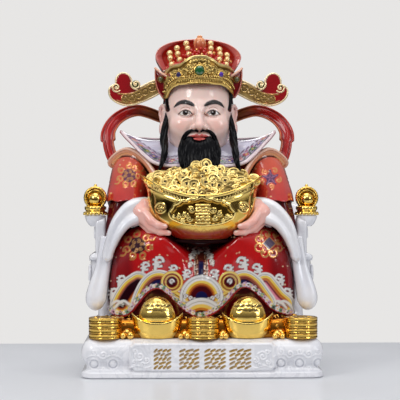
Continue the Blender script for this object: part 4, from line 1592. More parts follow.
def shoulder_bands():
    s = Soup()
    f = line_at([(118.0, 166.5, 4), (112.0, 164.4, 2), (112.2, 161.0, -2), (117.5, 155.6, -8), (123.8, 151.8, -14), (130, 151.0, -20), (139, 155.6, -27), (147, 163.6, -34), (153.0, 173.0, -39), (156.5, 184, -42)])
    back = np.array([[-58, -24, 214], [-56, 6, 236], [-62, 26, 250], [-80, 30, 246], [-92, 22, 240], [-95, 12, 236]], float)
    P = curve(np.vstack([f, back]), 190, closed=True)
    side = unit(P - P.mean(0))
    T = unit(np.roll(P, -1, 0) - np.roll(P, 1, 0))
    Nn = unit(np.cross(T, side))
    O = unit(np.cross(Nn, T))
    if (O * side).sum() < 0:
        O = -O

    def roll(off, lift, rx, ry, col, gilt=0.0, m=22):
        e = np.arange(m) / m * 2 * PI
        R = (P + O * off + [0, lift, 0])[:, None] + (rx * np.cos(e))[None, :, None] * O[:, None] + (ry * np.sin(e))[None, :, None] * Nn[:, None]
        s.add(torus_loft(R), (*col, gilt), mirror=True)

    roll(0.6, 0.4, 4.0, 3.6, srgb(230, 156, 116))
    roll(3.4, -1.6, 1.3, 1.8, srgb(240, 196, 172), 0.0, 16)
    roll(-2.9, -2.8, 2.3, 2.6, srgb(230, 164, 112))
    roll(-5.6, -3.4, 1.5, 1.8, srgb(196, 112, 66), 0.0, 14)
    roll(-7.3, -2.6, 1.0, 1.6, srgb(84, 20, 14), 0.0, 14)
    s.build("shoulder_bands", M_peach, "skin_glaze", ("figure",), sharp=60)


M_peach = material("peach_enamel", rough=0.22, coat=0.5, coat_rough=0.06, var=0.10, size=90, rvar=0.05, bump=0.05, bsize=260)
shoulder_bands()


M_sash = material("sash_enamel", rough=0.2, coat=0.3, coat_rough=0.08, spec=0.26, var=0.10, size=50, rvar=0.04, bump=0.04, bsize=180)


def sash_piece():
    half = line_at([(115.5, 163, 2), (111, 154, 5), (108.4, 143, 8), (108.6, 131.5, 12), (115, 120.8, 17), (125.6, 113.4, 22), (138, 110.4, 28), (149.5, 113, 34), (160, 117, 41)])
    mid = np.array([[-26, 50, 292], [0, 53, 291], [26, 50, 292]], float)
    mid = mid + [-3.2, 0, 0]
    P = curve(np.vstack([half, mid, across(half)[::-1]]), 360)
    m = len(P)
    t = np.linspace(0, 1, m)
    e = np.abs(t - 0.5) * 2
    # broad over the shoulder, with a pointed step where it narrows at its side
    hw = pchip([[0, 6.4], [0.35, 6.8], [0.6, 7.4], [0.74, 8.2], [0.80, 8.9], [0.822, 9.0], [0.836, 6.6], [0.9, 6.6], [1, 6.8]], e)
    hw = hw * np.minimum(1, np.sqrt(np.clip(1 - np.clip((e - 0.985) / 0.015, 0, 1) ** 2, 0.05, 1)))
    n = 72
    a = np.arange(n) / n * 2 * PI
    c, q = np.cos(a), np.sin(a)
    # a raised lip on each edge and one soft ridge between them
    prof = 0.62 + 0.42 * bell(np.abs(c) - 0.86, 0.20) + 0.26 * bell(c + 0.12, 0.26)
    X = hw[:, None] * np.sign(c)[None] * np.abs(c)[None] ** 0.8
    Y = 3.9 * (np.sign(q) * np.abs(q) ** 0.7 * prof)[None] * (1 + 0.05 * np.sin(t * 37)[:, None])
    U_, W_ = frames(P, (0, 1, 0))
    R = P[:, None] + X[..., None] * U_[:, None] + Y[..., None] * W_[:, None]
    V, F = loft(R)
    V, F, N = outward(V, F)
    cc = np.r_[np.tile(np.sign(c) * np.abs(c) ** 0.8, m), 0, 0]
    ee = np.r_[np.repeat(e, n), 0, 0]
    base = np.zeros((len(V), 4))
    base[:, :3] = mix(np.array(srgb(158, 92, 54)), np.array(srgb(176, 14, 12)), step(0.34, 0.56, ee)[:, None])
    # which edge faces the head: the one nearer to the middle line and the shoulder
    inner_side = np.sign(((V - np.repeat(np.vstack([P, P[:1], P[-1:]]), np.r_[np.full(m, n), 1, 1], axis=0)) * (np.array([-3.2, 8, 262]) - V)).sum(1))
    lip = step(0.74, 0.84, np.abs(cc))
    base[:, :3] = mix(base[:, :3], np.array(srgb(226, 142, 96)), (lip * np.where(inner_side > 0, 0.9, 0.15))[:, None])
    base[:, :3] = mix(base[:, :3], np.array(srgb(92, 8, 10)), (0.75 * bell(np.abs(cc) - 0.55, 0.12))[:, None])
    s = Soup()
    s.add((V + N * (0.12 * grain(V, 18, 6))[:, None], F), base)
    s.build("sash_glazed", M_sash, "red_glaze", ("sash",), sharp=60)


sash_piece()


# ------------------------------------------------------------------ the boat-shaped bowl
BOWL_Y0 = -55.0


def bowl_rim(x):
    return pchip([[0, 202.2], [12, 202.8], [24, 204.8], [36, 208.4], [48, 213.2], [58, 218.4], [64, 222.2], [69, 225.4]], np.abs(x))


def bowl_grid(n_front, n_back, t, grow=0.0, cup=False):
    """Rings of the bowl at shares t of its height."""
    a = np.r_[np.linspace(PI, 2 * PI, n_front, endpoint=False), np.linspace(0, PI, n_back, endpoint=False)]
    w = pchip([[0, 25.5], [0.03, 30], [0.08, 35], [0.18, 43], [0.3, 51.8], [0.42, 58.2], [0.55, 61.2], [0.7, 61.6], [0.82, 62.8], [0.92, 65.6], [1, 68.6]], t)[:, None] - grow
    d = pchip([[0, 16], [0.03, 19], [0.1, 23.5], [0.2, 27], [0.35, 30.8], [0.55, 33.6], [0.8, 35.8], [1, 37.4]], t)[:, None] - grow
    c, s = np.cos(a)[None], np.sin(a)[None]
    # ends drawn to a rounded prow, stronger towards the rim
    k = step(0.25, 0.95, t)[:, None]
    ex = mix(2.0, 1.62, k)
    sx = np.sign(s) * np.abs(s) ** (2 / ex)
    cc = np.sign(c) * np.abs(c) ** (2 / mix(2.0, 2.15, k))
    X, Y = cc * w, sx * d
    # a groove that sets the prow apart from the front face
    groove = 1.5 * bell(np.abs(X) - (w - 7.5), 1.5) * step(0.3, 0.5, t)[:, None] * (1 - step(0.82, 0.9, t)[:, None])
    Y = Y - np.sign(Y) * groove
    z = mix(152.2, bowl_rim(X), t[:, None])
    return np.stack([X, BOWL_Y0 + Y, z], -1)


def bowl_piece():
    t = np.r_[np.linspace(0, 1, 98)]
    R = bowl_grid(212, 46, t)
    R[:, :, 2] += (-0.5 * (1 - step(0, 0.03, t)))[:, None]
    rim_out = R[-1]
    inner_t = np.linspace(1, 0.62, 14)
    I = bowl_grid(212, 46, inner_t, 3.0)
    lip = (R[-1] + I[0]) / 2 + [0, 0, 0.9]
    lip1, lip2 = mix(R[-1], lip, 0.6) + [0, 0, 0.5], mix(I[0], lip, 0.6) + [0, 0, 0.5]
    G = np.concatenate([R, lip1[None], lip[None], lip2[None], I])
    V, F = loft(G)
    if signed_volume(V, F) < 0:
        F = flipped(F)
    N = normals(V, F)
    U_, V_ = seen(V)
    m = len(t)
    n = R.shape[1]
    tt = np.concatenate([np.repeat(t, n), np.full(len(V) - m * n, 2.0)])
    isf = (V[:, 1] < BOWL_Y0 + 1) & (tt < 1.5)
    b = Brush(np.where(isf, U_, -500), V_, (*GOLD,))
    b.c[:, 3] = 1.0
    dark, mid, hi_ = srgb(136, 84, 20), srgb(206, 152, 58), srgb(255, 226, 138)
    # bands that follow the rim on the outside, measured down from it
    below = bowl_rim(V[:, 0]) - V[:, 2]
    out = (tt <= 1.0)
    band = (step(1.6, 2.2, below) * (1 - step(8.2, 8.9, below))) * out
    b.put(band, srgb(238, 208, 124), 1.0, -0.35)
    for c0, wd, up in ((1.0, 1.0, 0.5), (9.2, 0.8, 0.55), (11.2, 0.45, 0.25)):
        k = bell(below - c0, wd) * out
        b.h += up * k
        b.c[:, :3] = mix(b.c[:, :3], np.array(hi_), (0.6 * k)[:, None])
    # beads in the band
    ang = np.arctan2((V[:, 1] - BOWL_Y0) / 37.0, V[:, 0] / 68.0)
    run = np.interp(ang, np.linspace(-PI, PI, 721), np.r_[0, np.cumsum(np.hypot(68 * np.sin(np.linspace(-PI, PI, 720)), 37 * np.cos(np.linspace(-PI, PI, 720))) * 2 * PI / 720)])
    dash = np.abs((run % 3.7) - 1.85)
    k = (1 - step(0.45, 0.8, dash)) * (1 - step(1.5, 1.9, np.abs(below - 5.1))) * out
    b.put(k, srgb(104, 70, 22), 1.0, -0.3)
    k = (1 - step(0.3, 0.6, np.abs(dash - 1.85))) * (1 - step(1.5, 1.9, np.abs(below - 5.1))) * out
    b.put(k, hi_, 1.0, 0.2)
    # the gilt is browner on the body's side to the viewer's left, and reddened underneath
    k = (1 - step(176, 190, b.U)) * (b.U > 0) * step(10, 14, below) * (1 - step(-36, -30, V[:, 1]))
    b.c[:, :3] = mix(b.c[:, :3], np.array(srgb(112, 88, 34)), (0.75 * k)[:, None])
    k = (1 - step(0.55, 1.15, np.hypot((b.U - 163) / 11.0, (b.V - 208.5) / 11.5))) * step(9.5, 12.5, below)
    b.c[:, :3] = mix(b.c[:, :3], np.array(srgb(44, 32, 12)), (0.8 * k)[:, None])
    k = step(226, 240, b.U) * step(10, 14, below)
    b.c[:, :3] = mix(b.c[:, :3], np.array(srgb(176, 142, 62)), (0.5 * k)[:, None])
    # the bright turn of the body below each prow
    b.line([(144.8, 184), (147.6, 195), (149.6, 205), (153.4, 213), (159.5, 219.4), (167, 223.4)], 3.4, srgb(255, 236, 156), 1.0, 0.45, 1.2, n=30)
    b.line([(256.6, 190), (255.0, 200), (252.0, 208.6), (246.4, 216), (239, 221.5)], 2.2, srgb(252, 222, 140), 1.0, 0.3, 0.8, n=30)
    for u in (175.5, 228.5):
        k = 1 - step(0.4, 1.1, np.hypot((b.U - u) / 9.0, (b.V - 223.5) / 3.4))
        b.c[:, :3] = mix(b.c[:, :3], np.array(srgb(248, 170, 24)), (0.7 * k)[:, None])
    k = (1 - step(160.0, 166.5, V[:, 2] + 1.6 * np.cos(V[:, 0] * 0.11))) * (0.2 + 0.8 * step(152.4, 153.8, V[:, 2]))
    b.c[:, :3] = mix(b.c[:, :3], np.array(srgb(150, 8, 8)), (0.92 * k)[:, None])
    b.c[:, 3] *= 1 - 0.86 * k
    # two browner streaks down the middle of the reddened part
    for u in (192.5, 206.5):
        b.c[:, :3] = mix(b.c[:, :3], np.array(srgb(170, 96, 24)), (0.5 * k * bell(b.U - u, 2.2))[:, None])
    ruddy = k
    # round medallions by the prows
    for u, v in ((160.5, 208), (243.8, 207.5)):
        b.ring(u, v, 5.0, 1.5, hi_, 1.0, 0.8)
        b.disc(u, v, 4.2, dark, 1.0, -0.1)
        for i in range(6):
            a = i / 6 * 2 * PI
            b.disc(u + 2.6 * math.cos(a), v + 2.6 * math.sin(a), 0.95, hi_, 1.0, 0.5)
        b.disc(u, v, 1.1, hi_, 1.0, 0.7)
    # cloud-shaped cartouche with strokes in the middle and scrolls beside them
    half = [(202, 197.0), (205.5, 198.2), (209, 199.4), (213.5, 199.0), (218, 200.8), (222.5, 200.6), (226.2, 203.4), (230, 204.8), (231.8, 208.4), (234.6, 212.4), (233.2, 217.4), (228.4, 220.6), (221, 223.4), (211, 225.0), (202, 225.6)]
    outline = curve(half + [(404 - u, v) for u, v in half[::-1][1:-1]], 130, closed=True)
    P = np.stack([b.U, b.V], -1)
    near = (b.U > 160) & (b.U < 244) & (b.V > 195) & (b.V < 232)
    ins = np.zeros(len(P), bool)
    ins[near] = inside(outline, P[near])
    b.put(ins * 1.0, srgb(158, 124, 50), 1.0, -0.4)
    b.put(ins * bell(b.U - 196, 14) * 0.6, dark, 1.0, None)
    b.line(np.vstack([outline, outline[:1]]), 1.9, hi_, 1.0, 0.75)
    inner = np.stack([202 + (outline[:, 0] - 202) * 0.9, 213.6 + (outline[:, 1] - 213.6) * 0.84], -1)
    b.line(np.vstack([inner, inner[:1]]), 0.9, mid, 1.0, 0.25)
    for hand in (1, -1):
        for du, dv, r, tr, a in ((11, -2.5, 3.4, 1.5, 0.5), (17.5, 1.8, 3.2, 1.4, 2.4), (24.0, 4.0, 2.7, 1.3, 0.3), (13, 6.2, 3.0, 1.4, 2.6), (20.0, 7.6, 2.2, 1.2, 0.8), (28.6, 3.4, 1.9, 1.2, 2.0)):
            b.line(spiral(202.5 + du * hand, 212.5 + dv, 0.3, r, tr, a, 26, hand), 1.15, hi_, 1.0, 0.55)
    for i, v in enumerate(np.linspace(205.2, 222.8, 7)):
        wob = 0.7 * math.sin(i * 2.1)
        cuts = ((196.4, 201.8), (203.4, 209.0)) if i % 2 else ((196.4, 199.2), (200.8, 205.4), (206.8, 209.4))
        for a, c_ in cuts:
            b.line([(a, v + wob), ((a + c_) / 2, v - wob * 0.6), (c_, v + wob * 0.5)], 1.45, hi_, 1.0, 0.75, n=6)
    # lotus petals round the foot
    petal = np.abs(((run + 4) % 12.0) - 6) / 6
    top = 12.5 - 6 * petal**2
    lowz = V[:, 2] - 152
    k = step(0, 0.8, top - lowz) * out * (lowz > 0.5)
    b.h += 0.2 * k
    rimline = bell(top - lowz, 0.8) * out * (lowz > 0.5)
    b.c[:, :3] = mix(b.c[:, :3], np.array(dark), (0.4 * rimline)[:, None])
    b.h -= 0.15 * rimline
    b.c[:, :3] = mix(b.c[:, :3], np.array(srgb(140, 8, 8)), (0.6 * ruddy)[:, None])
    fine = 0.12 * grain(V, 9, 4)
    V = V + N * (b.h * 0.9 + fine)[:, None]
    s = Soup()
    s.add((V, F), b.c)
    s.build("bowl_gilt", M_gold, "bright_gilt", ("bowl",), sharp=60)


bowl_piece()


def coin(R=6.2, r=1.5, T=1.9, n=20):
    """A round coin with a squared hole, rims raised round both."""
    sec = [(r, -T / 2), (r + 0.9, -T / 2), (r + 1.3, -T / 2 + 0.45), (R - 1.7, -T / 2 + 0.45), (R - 1.2, -T / 2), (R - 0.2, -T / 2), (R, -T / 4), (R, T / 4), (R - 0.2, T / 2), (R - 1.2, T / 2), (R - 1.7, T / 2 - 0.45), (r + 1.3, T / 2 - 0.45), (r + 0.9, T / 2), (r, T / 2)]
    a = np.arange(n) / n * 2 * PI
    sq = 1 / np.maximum(np.abs(np.cos(a)), np.abs(np.sin(a)))
    rows = []
    for q, z in sec:
        k = mix(sq, 1.0, smooth((q - r) / (R * 0.45)))
        rows.append(np.stack([q * k * np.cos(a), q * k * np.sin(a), np.full(n, z)], -1))
    V, F = torus_loft(np.asarray(rows))
    shade_ = np.repeat([0.35, 0.9, 0.5, 0.5, 0.9, 1, 1, 1, 1, 0.9, 0.5, 0.5, 0.9, 0.35], n)
    return V, F, shade_


def tilted(shape, normal, spin, place):
    z = np.asarray(normal, float)
    z = z / np.linalg.norm(z)
    a = np.array([math.cos(spin), math.sin(spin), 0.0])
    x = a - z * (a @ z)
    x = x / np.linalg.norm(x)
    return shape[0] @ np.stack([x, np.cross(z, x), z]) + np.asarray(place, float), shape[1]


def heap_top(x, y):
    """Height of the heap at x, y."""
    rimy = 33.5 * np.sqrt(np.maximum(1 - (np.abs(x) / 66.0) ** 1.9, 0.02))
    q = np.clip(np.abs(y - BOWL_Y0 - 1.5) / rimy, 0, 1.2)
    crest = pchip([[0, 241.0], [6, 239.2], [14, 234.6], [24, 230.8], [36, 228.0], [48, 225.0], [60, 222.4], [66, 220.6]], np.abs(x))
    edge = bowl_rim(x) - 2.2
    return edge + (crest - edge) * np.clip(1 - q**1.45, -0.2, 1)


def heap_piece():
    s = Soup()
    n, m = 64, 16
    a = np.arange(n) / n * 2 * PI
    rings = []
    for q in np.linspace(1, 0.02, m):
        x, y = 63.0 * q * np.cos(a), BOWL_Y0 + 32.5 * q * np.sin(a) * np.abs(np.sin(a)) ** 0.25
        rings.append(np.stack([x, y, heap_top(x, y) - 2.6], -1))
    low = rings[0].copy()
    low[:, 2] = 186
    low[:, 0] *= 0.9
    low[:, 1] = BOWL_Y0 + (low[:, 1] - BOWL_Y0) * 0.88
    s.add(loft(np.asarray([low] + rings)), (*srgb(150, 96, 26), 1.0))
    rr = np.random.default_rng(21)
    done = []
    base = srgb(246, 216, 136)
    tries = 0

    def lie(x, y, e=1.0):
        gx = float(heap_top(np.array(x + e), np.array(y)) - heap_top(np.array(x - e), np.array(y))) / (2 * e)
        gy = float(heap_top(np.array(x), np.array(y + e)) - heap_top(np.array(x), np.array(y - e))) / (2 * e)
        return np.array([-gx, -gy, 1.0])

    while len(done) < 150 and tries < 9000:
        tries += 1
        x = rr.uniform(-61, 61)
        ry = 31.0 * math.sqrt(max(1 - (abs(x) / 65.0) ** 1.9, 0.0))
        y = BOWL_Y0 + rr.uniform(-ry, ry)
        z = float(heap_top(np.array(x), np.array(y)))
        p = np.array([x, y, z])
        if any(np.linalg.norm(p - q) < 6.7 for q in done):
            continue
        done.append(p)
        nrm = unit(unit(lie(x, y)) + rr.normal(0, 0.34, 3) + np.array([0, -0.7, 0]))
        R = rr.uniform(5.2, 7.8)
        V, F, sh = coin(R, R * 0.26, rr.uniform(1.7, 2.2), 26)
        mid = p + nrm * rr.uniform(-1.2, 0.9)
        V, F = tilted((V, F), nrm, rr.uniform(0, 6.28), mid)
        tone = rr.uniform(0.86, 1.05)
        col = np.clip(np.array(base)[None] * (0.32 + 0.68 * sh[:, None]) * tone, 0, 1)
        s.add((V, F), np.concatenate([col, np.ones((len(V), 1))], 1))
        # the dark hole
        x3 = np.cross(nrm, [1.0, 0, 0])
        x3 = x3 / np.linalg.norm(x3)
        s.add(egg(mid, (R * 0.27, R * 0.27, 0.55), 12, 6, np.stack([x3, np.cross(nrm, x3), nrm])), (*srgb(46, 26, 8), 0.2))
    # small nuggets of gold caught between the coins
    for _ in range(190):
        x = rr.uniform(-60, 60)
        ry = 31.0 * math.sqrt(max(1 - (abs(x) / 65.0) ** 1.9, 0.0))
        y = BOWL_Y0 + rr.uniform(-ry, ry * 0.7)
        z = float(heap_top(np.array(x), np.array(y)))
        r = rr.uniform(1.4, 3.0)
        V2, F2 = egg((0, 0, 0), (r, r * rr.uniform(0.7, 1), r * rr.uniform(0.6, 0.9)), 12, 8)
        V2 = V2 * (1 + 0.14 * grain(V2 + x * 3, r, 3))[:, None] + [x, y, z + 0.4]
        s.add((V2, F2), (*(np.array(srgb(244, 210, 122)) * rr.uniform(0.75, 1.05)), 1.0))
    s.build("coin_heap_gilt", M_coin, "bright_gilt", ("coin_heap",), sharp=40)


M_coin = material("coin_gold", rough=0.30, var=0.1, size=120, rvar=0.05, bump=0.08, bsize=400, gilt_rough=0.28)
M_stack = material("stack_gold", rough=0.2, var=0.08, size=90, rvar=0.05, bump=0.10, bsize=300, gilt_rough=0.17)
heap_piece()


# ------------------------------------------------------------------ ingots, coin stacks and the gilt bed
def ingot_piece(name, x0, node, seed):
    s = Soup()
    n = 132
    a = np.arange(n) / n * 2 * PI
    z0, y0 = 42.85, -74.0

    def level(w, d, z, lift=0.0, e=2.4):
        return np.stack([x0 + np.cos(a) * w, y0 + np.sin(a) * d, z + lift * np.abs(np.cos(a)) ** e], -1)

    keys = np.array([
        [0, 16.8, 10.2, z0, 0], [1, 18.2, 11.4, z0 + 0.5, 0], [2, 19.2, 12.0, z0 + 1.8, 0], [3, 21.2, 12.9, z0 + 3.6, 0.1], [4, 22.9, 13.6, z0 + 5.2, 0.3], [5, 24.4, 14.2, z0 + 7.0, 0.8],
        [6, 26.0, 14.9, z0 + 9.4, 2.0], [7, 27.3, 15.5, z0 + 12.2, 4.4], [8, 28.2, 15.9, z0 + 14.6, 7.6], [9, 28.8, 16.1, z0 + 16.2, 10.0], [10, 28.8, 16.1, z0 + 16.9, 11.0],
        [11, 28.0, 15.8, z0 + 17.5, 10.9], [12, 26.4, 15.0, z0 + 17.2, 9.6], [13, 23.4, 14.2, z0 + 16.6, 6.4], [14, 20.6, 13.6, z0 + 17.2, 2.2],
        [15, 20.2, 13.6, z0 + 19.4, 0.4], [16, 20.9, 14.1, z0 + 21.6, 0], [17, 21.0, 14.2, z0 + 24.0, 0], [18, 20.3, 13.8, z0 + 27.6, 0], [19, 18.4, 12.7, z0 + 32.8, 0], [20, 15.6, 10.9, z0 + 37.8, 0], [21, 11.6, 8.3, z0 + 42.2, 0], [22, 7.0, 5.2, z0 + 45.2, 0], [23, 2.4, 1.8, z0 + 46.7, 0]])
    q = pchip(keys, np.linspace(0, 23, 120))
    R = np.asarray([level(*row) for row in q])
    V, F = loft(R)
    if signed_volume(V, F) < 0:
        F = flipped(F)
    N = normals(V, F)
    U_, V_ = seen(V)
    b = Brush(np.where((V[:, 1] < y0 + 1), U_, -500), V_, (*GOLD,))
    b.c[:, 3] = 1
    dark, hi_ = srgb(120, 74, 18), srgb(255, 228, 140)
    uc, _ = seen(np.array([x0, y0 - 12, 70.0]))
    # two rows of dark cut strokes on the dome, with a rounded end on each
    rr = np.random.default_rng(seed)
    for i, v in enumerate((305.6, 310.2)):
        for j in range(5 - i % 2):
            uu = uc - 11.2 + j * 5.6 + (i % 2) * 2.8
            b.line([(uu - 1.9, v + rr.uniform(-0.9, 0.9)), (uu, v + 0.5), (uu + 1.9, v + rr.uniform(-0.9, 0.9))], 1.5, srgb(60, 38, 10), 0.25, -0.3, 0.4, n=8)
            b.ring(uu - 1.6, v - 1.7, 1.1, 0.7, hi_, 1.0, 0.4)
    for k in (z0 + 20.4, z0 + 23.0):
        w = bell(V[:, 2] - k, 0.5) * (np.abs(V[:, 0] - x0) < 24)
        b.h += 0.25 * w
    rim = bell(V[:, 2] - (z0 + 17.3 + 11 * np.clip(np.abs(V[:, 0] - x0) / 28.6, 0, 1) ** 2.4), 0.9)
    b.c[:, :3] = mix(b.c[:, :3], np.array(hi_), (0.5 * rim)[:, None])
    V = V + N * (b.h + 0.1 * grain(V, 9, seed))[:, None]
    s.add((V, F), b.c)
    s.build(name, M_gold, "bright_gilt", (node,), sharp=60)


ingot_piece("ingot_gilt_left", -50.5, "ingot_left", 3)
ingot_piece("ingot_gilt_right", 50.5, "ingot_right", 4)


def stack_piece(name, cx, cy, node, seed):
    s = Soup()
    z0, R, T = 42.85, 18.4, 23.6 / 4
    n = 150
    rr = np.random.default_rng(seed)
    for i in range(4):
        zb = z0 + i * T
        prof = [[3.2, 0.3], [R - 4.6, 0.3], [R - 3.6, 0.0], [R - 0.9, 0.0], [R - 0.25, 0.35], [R, 0.9], [R - 0.1, 1.3], [R - 0.3, 1.7], [R - 0.3, T - 1.8], [R - 0.1, T - 1.4], [R, T - 1.0], [R - 0.25, T - 0.5], [R - 0.9, T - 0.12], [R - 3.4, T - 0.12], [R - 4.2, T - 0.7], [8.2, T - 0.7], [7.4, T - 0.15], [5.2, T - 0.15], [4.6, T - 0.6], [3.2, T - 0.6]]
        a = np.arange(n) / n * 2 * PI
        sq = np.minimum(1 / np.maximum(np.abs(np.cos(a)), np.abs(np.sin(a))), 1.3)
        rows, tone = [], []
        for r, z in prof:
            k = mix(sq, 1.0, smooth((r - 3.2) / 7.0))
            reed = 1.0
            if 1.6 < z < T - 1.7 and r > R - 2:
                reed = 1 + 0.006 * np.cos(a * 50) + 0.004 * np.cos(a * 23 + i)
            if r > 8.0 and r < R - 4.4 and z > T - 1:
                reed = 1.0
            rows.append(np.stack([cx + r * k * reed * np.cos(a), cy + r * k * reed * np.sin(a), np.full(n, zb + z)], -1))
        V, F = torus_loft(np.asarray(rows))
        c = np.broadcast_to(np.array((*srgb(240, 196, 96), 1.0)), (len(V), 4)).copy()
        rel = V - [cx, cy, zb]
        side = (rel[:, 2] < 0.6) & (np.hypot(rel[:, 0], rel[:, 1]) > R - 1.5)
        c[side, :3] = np.array(srgb(150, 96, 30))
        c[:, :3] *= (0.92 + 0.08 * grain(V, 7, seed))[:, None]
        s.add((V, F), c)
        # raised marks on the face of each coin, set round the middle
        zt = zb + T - 0.55
        for j in range(8):
            t = (j + 0.5 * (i % 2)) / 8 * 2 * PI + 0.2
            x, y = cx + 10.9 * math.cos(t), cy + 10.9 * math.sin(t)
            s.add(egg((x, y, zt), (1.9, 0.75, 0.55), 10, 6, np.array([[math.cos(t), math.sin(t), 0], [-math.sin(t), math.cos(t), 0], [0, 0, 1]])), (*GOLD, 1.0))
            s.add(egg((x + 1.6 * math.sin(t), y - 1.6 * math.cos(t), zt), (0.8, 1.7, 0.5), 10, 6, np.array([[math.cos(t), math.sin(t), 0], [-math.sin(t), math.cos(t), 0], [0, 0, 1]])), (*GOLD, 1.0))
    s.add(lathe([[0, z0 + 0.3], [3.5, z0 + 0.3], [3.5, z0 + 22.0], [0, z0 + 22.0]], 24, (cx, cy, 0)), (*srgb(120, 74, 20), 1.0))
    s.build(name, M_stack, "bright_gilt", (node,), sharp=40)


stack_piece("coin_stack_gilt_left", -108.6, -75.0, "coin_stack_left", 1)
stack_piece("coin_stack_gilt_middle", 0.4, -76.5, "coin_stack_middle", 2)
stack_piece("coin_stack_gilt_right", 110.5, -75.0, "coin_stack_right", 3)


def bed_piece():
    s = Soup()
    n = 300
    cx, cy = superloop(n, 5, 112, 20)
    rows = []
    for z, inset in ((42.85, 1.0), (44, 0), (50, 0.6), (56, 1.4), (60.6, 3), (63.0, 6), (64, 11)):
        x, y = cx * (114.4 - inset), -54.6 + cy * (20 - inset * 0.6)
        rows.append(np.stack([x, y, np.full(n, z)], -1))
    V, F = loft(np.asarray(rows))
    N = normals(V, F)
    V = V + (np.sign(signed_volume(V, F)) * N) * (0.5 * grain(V, 6, 9) + 1.0 * grain(V, 11, 2))[:, None] * (V[:, 2] > 43.5)[:, None]
    V[:, 2] = np.maximum(V[:, 2], 42.85)
    s.add((V, F), (*srgb(186, 120, 40), 1.0))
    rr = np.random.default_rng(12)
    rooms = [(-50.5, -74, 30.5, 17.6), (50.5, -74, 30.5, 17.6), (-107, -75, 18.6, 18.6), (1.5, -76.5, 18.6, 18.6), (110.5, -75, 18.6, 18.6)]

    def free(x, y, r):
        return all(((x - a) / (c + r * 0.6)) ** 2 + ((y - b_) / (d + r * 0.6)) ** 2 > 1 for a, b_, c, d in rooms)

    count = 0
    for _ in range(5000):
        if count > 210:
            break
        x, y = rr.uniform(-110, 110), rr.uniform(-82, -40)
        r = rr.uniform(2.4, 5.2)
        top = 65.0 if y > -62 else (58.0 if y > -72 else 50.0)
        z = rr.uniform(44.5 + r * 0.7, top)
        if y > -74 and z < 54 and y > -66:
            z = rr.uniform(59, 65.0)
        if not free(x, y, r):
            continue
        count += 1
        kind = rr.integers(0, 3)
        col = (*(np.array(srgb(236, 178, 84)) * rr.uniform(0.7, 1.1)), 1.0)
        ax = np.array([[math.cos(q := rr.uniform(0, 3.1)), math.sin(q), 0], [-math.sin(q), math.cos(q), 0], [0, 0, 1]])
        if kind == 0:
            Vc, Fc, sh = coin(r * 1.25, r * 0.32, 2.0, 16)
            s.add(tilted((Vc, Fc), unit(rr.normal(0, 0.6, 3) + [0, -0.6, 1.0]), rr.uniform(0, 6.28), (x, y, z)), col)
        else:
            V2, F2 = egg((0, 0, 0), (r, r * rr.uniform(0.7, 0.95), r * rr.uniform(0.6, 0.9)), 14, 9, ax)
            V2 = V2 * (1 + 0.10 * grain(V2 + count * 7.0, r * 0.8, 3))[:, None] + [x, y, max(z, 42.85 + r * 0.95)]
            s.add((V2, F2), col)
    for x, y, r in ((-84.5, -77, 5.6), (-80.6, -83.5, 4.2), (-88.6, -83.0, 3.8), (-19.5, -79.5, 4.8), (-17.0, -86.0, 3.6), (-24.5, -85.0, 3.2), (22.5, -79.5, 4.8), (25.5, -85.5, 3.4), (20.6, -87.0, 3.2), (83.0, -81, 4.8), (87.0, -77, 5.2), (80.4, -86.0, 3.4), (88.6, -85.5, 3.2)):
        V2, F2 = egg((0, 0, 0), (r, r, r), 18, 12)
        V2 = V2 * (1 + 0.05 * grain(V2 + x, r * 0.8, 5))[:, None] + [x, y, 42.85 + r * 0.96]
        s.add((V2, F2), (*srgb(246, 200, 104), 1.0))
    s.build("treasure_bed_gilt", M_stack, "bright_gilt", ("treasure_bed",), sharp=50)


bed_piece()


# ------------------------------------------------------------------ head, face, hair and hands
HX = -2.6  # the head and hat sit a little to one side of the body's middle
TO_HEAD = np.array([-HX, 0.0, 0.0])


def both(f):
    """A field made the same on either side of X = 0."""
    def g(P):
        Q = P.copy()
        Q[..., 0] = np.abs(Q[..., 0])
        return f(Q)
    return g


def chain(P, pts, radii, k=0.6):
    pts = np.asarray(pts, float)
    radii = np.broadcast_to(radii, (len(pts),))
    d = None
    for i in range(len(pts) - 1):
        e = cone_d(P, pts[i], pts[i + 1], radii[i], radii[i + 1])
        d = e if d is None else melt(d, e, k)
    return d


def skull(P):
    d = egg_d(P, (0, 3, 314), (39.0, 43.5, 42))
    d = melt(d, egg_d(P, (0, -3.5, 288), (37.8, 37.0, 40)), 12)
    d = melt(d, egg_d(P, (0, -9, 268), (30.0, 28.0, 25)), 14)
    d = melt(d, cone_d(P, (0, 4, 278), (0, 4, 254), 23, 24), 8)
    return d


def front_of(X, Z):
    """How far forward the bare head reaches at a place on it."""
    X, Z = np.asarray(X, float), np.asarray(Z, float)
    a, b = np.full(X.shape, -70.0), np.full(X.shape, 0.0)
    for _ in range(26):
        m = (a + b) / 2
        out = skull(np.stack([X, m, Z], -1)) > 0
        a, b = np.where(out, m, a), np.where(out, b, m)
    return b


def on_face(pts, lift=0.0):
    p = np.asarray(pts, float)
    return np.stack([p[:, 0], front_of(p[:, 0], p[:, 1]) - lift, p[:, 1]], -1)


EYE_X, EYE_Z = 15.6, 297.5
LID_UP = curve([(8.2, 296.0), (11.4, 299.2), (15.8, 300.6), (20.2, 299.2), (24.0, 295.8)], 11)
LID_LOW = curve([(8.2, 296.0), (11.6, 294.0), (15.8, 293.2), (20.0, 293.8), (24.0, 295.8)], 11)
LIP_LINE = curve([(0, 268.2), (4, 268.5), (8, 268.7), (12.2, 269.6)], 9)
BROW = curve([(6.6, 305.2), (11.5, 308.0), (17.5, 309.4), (23.5, 308.0), (28.4, 304.0)], 12)


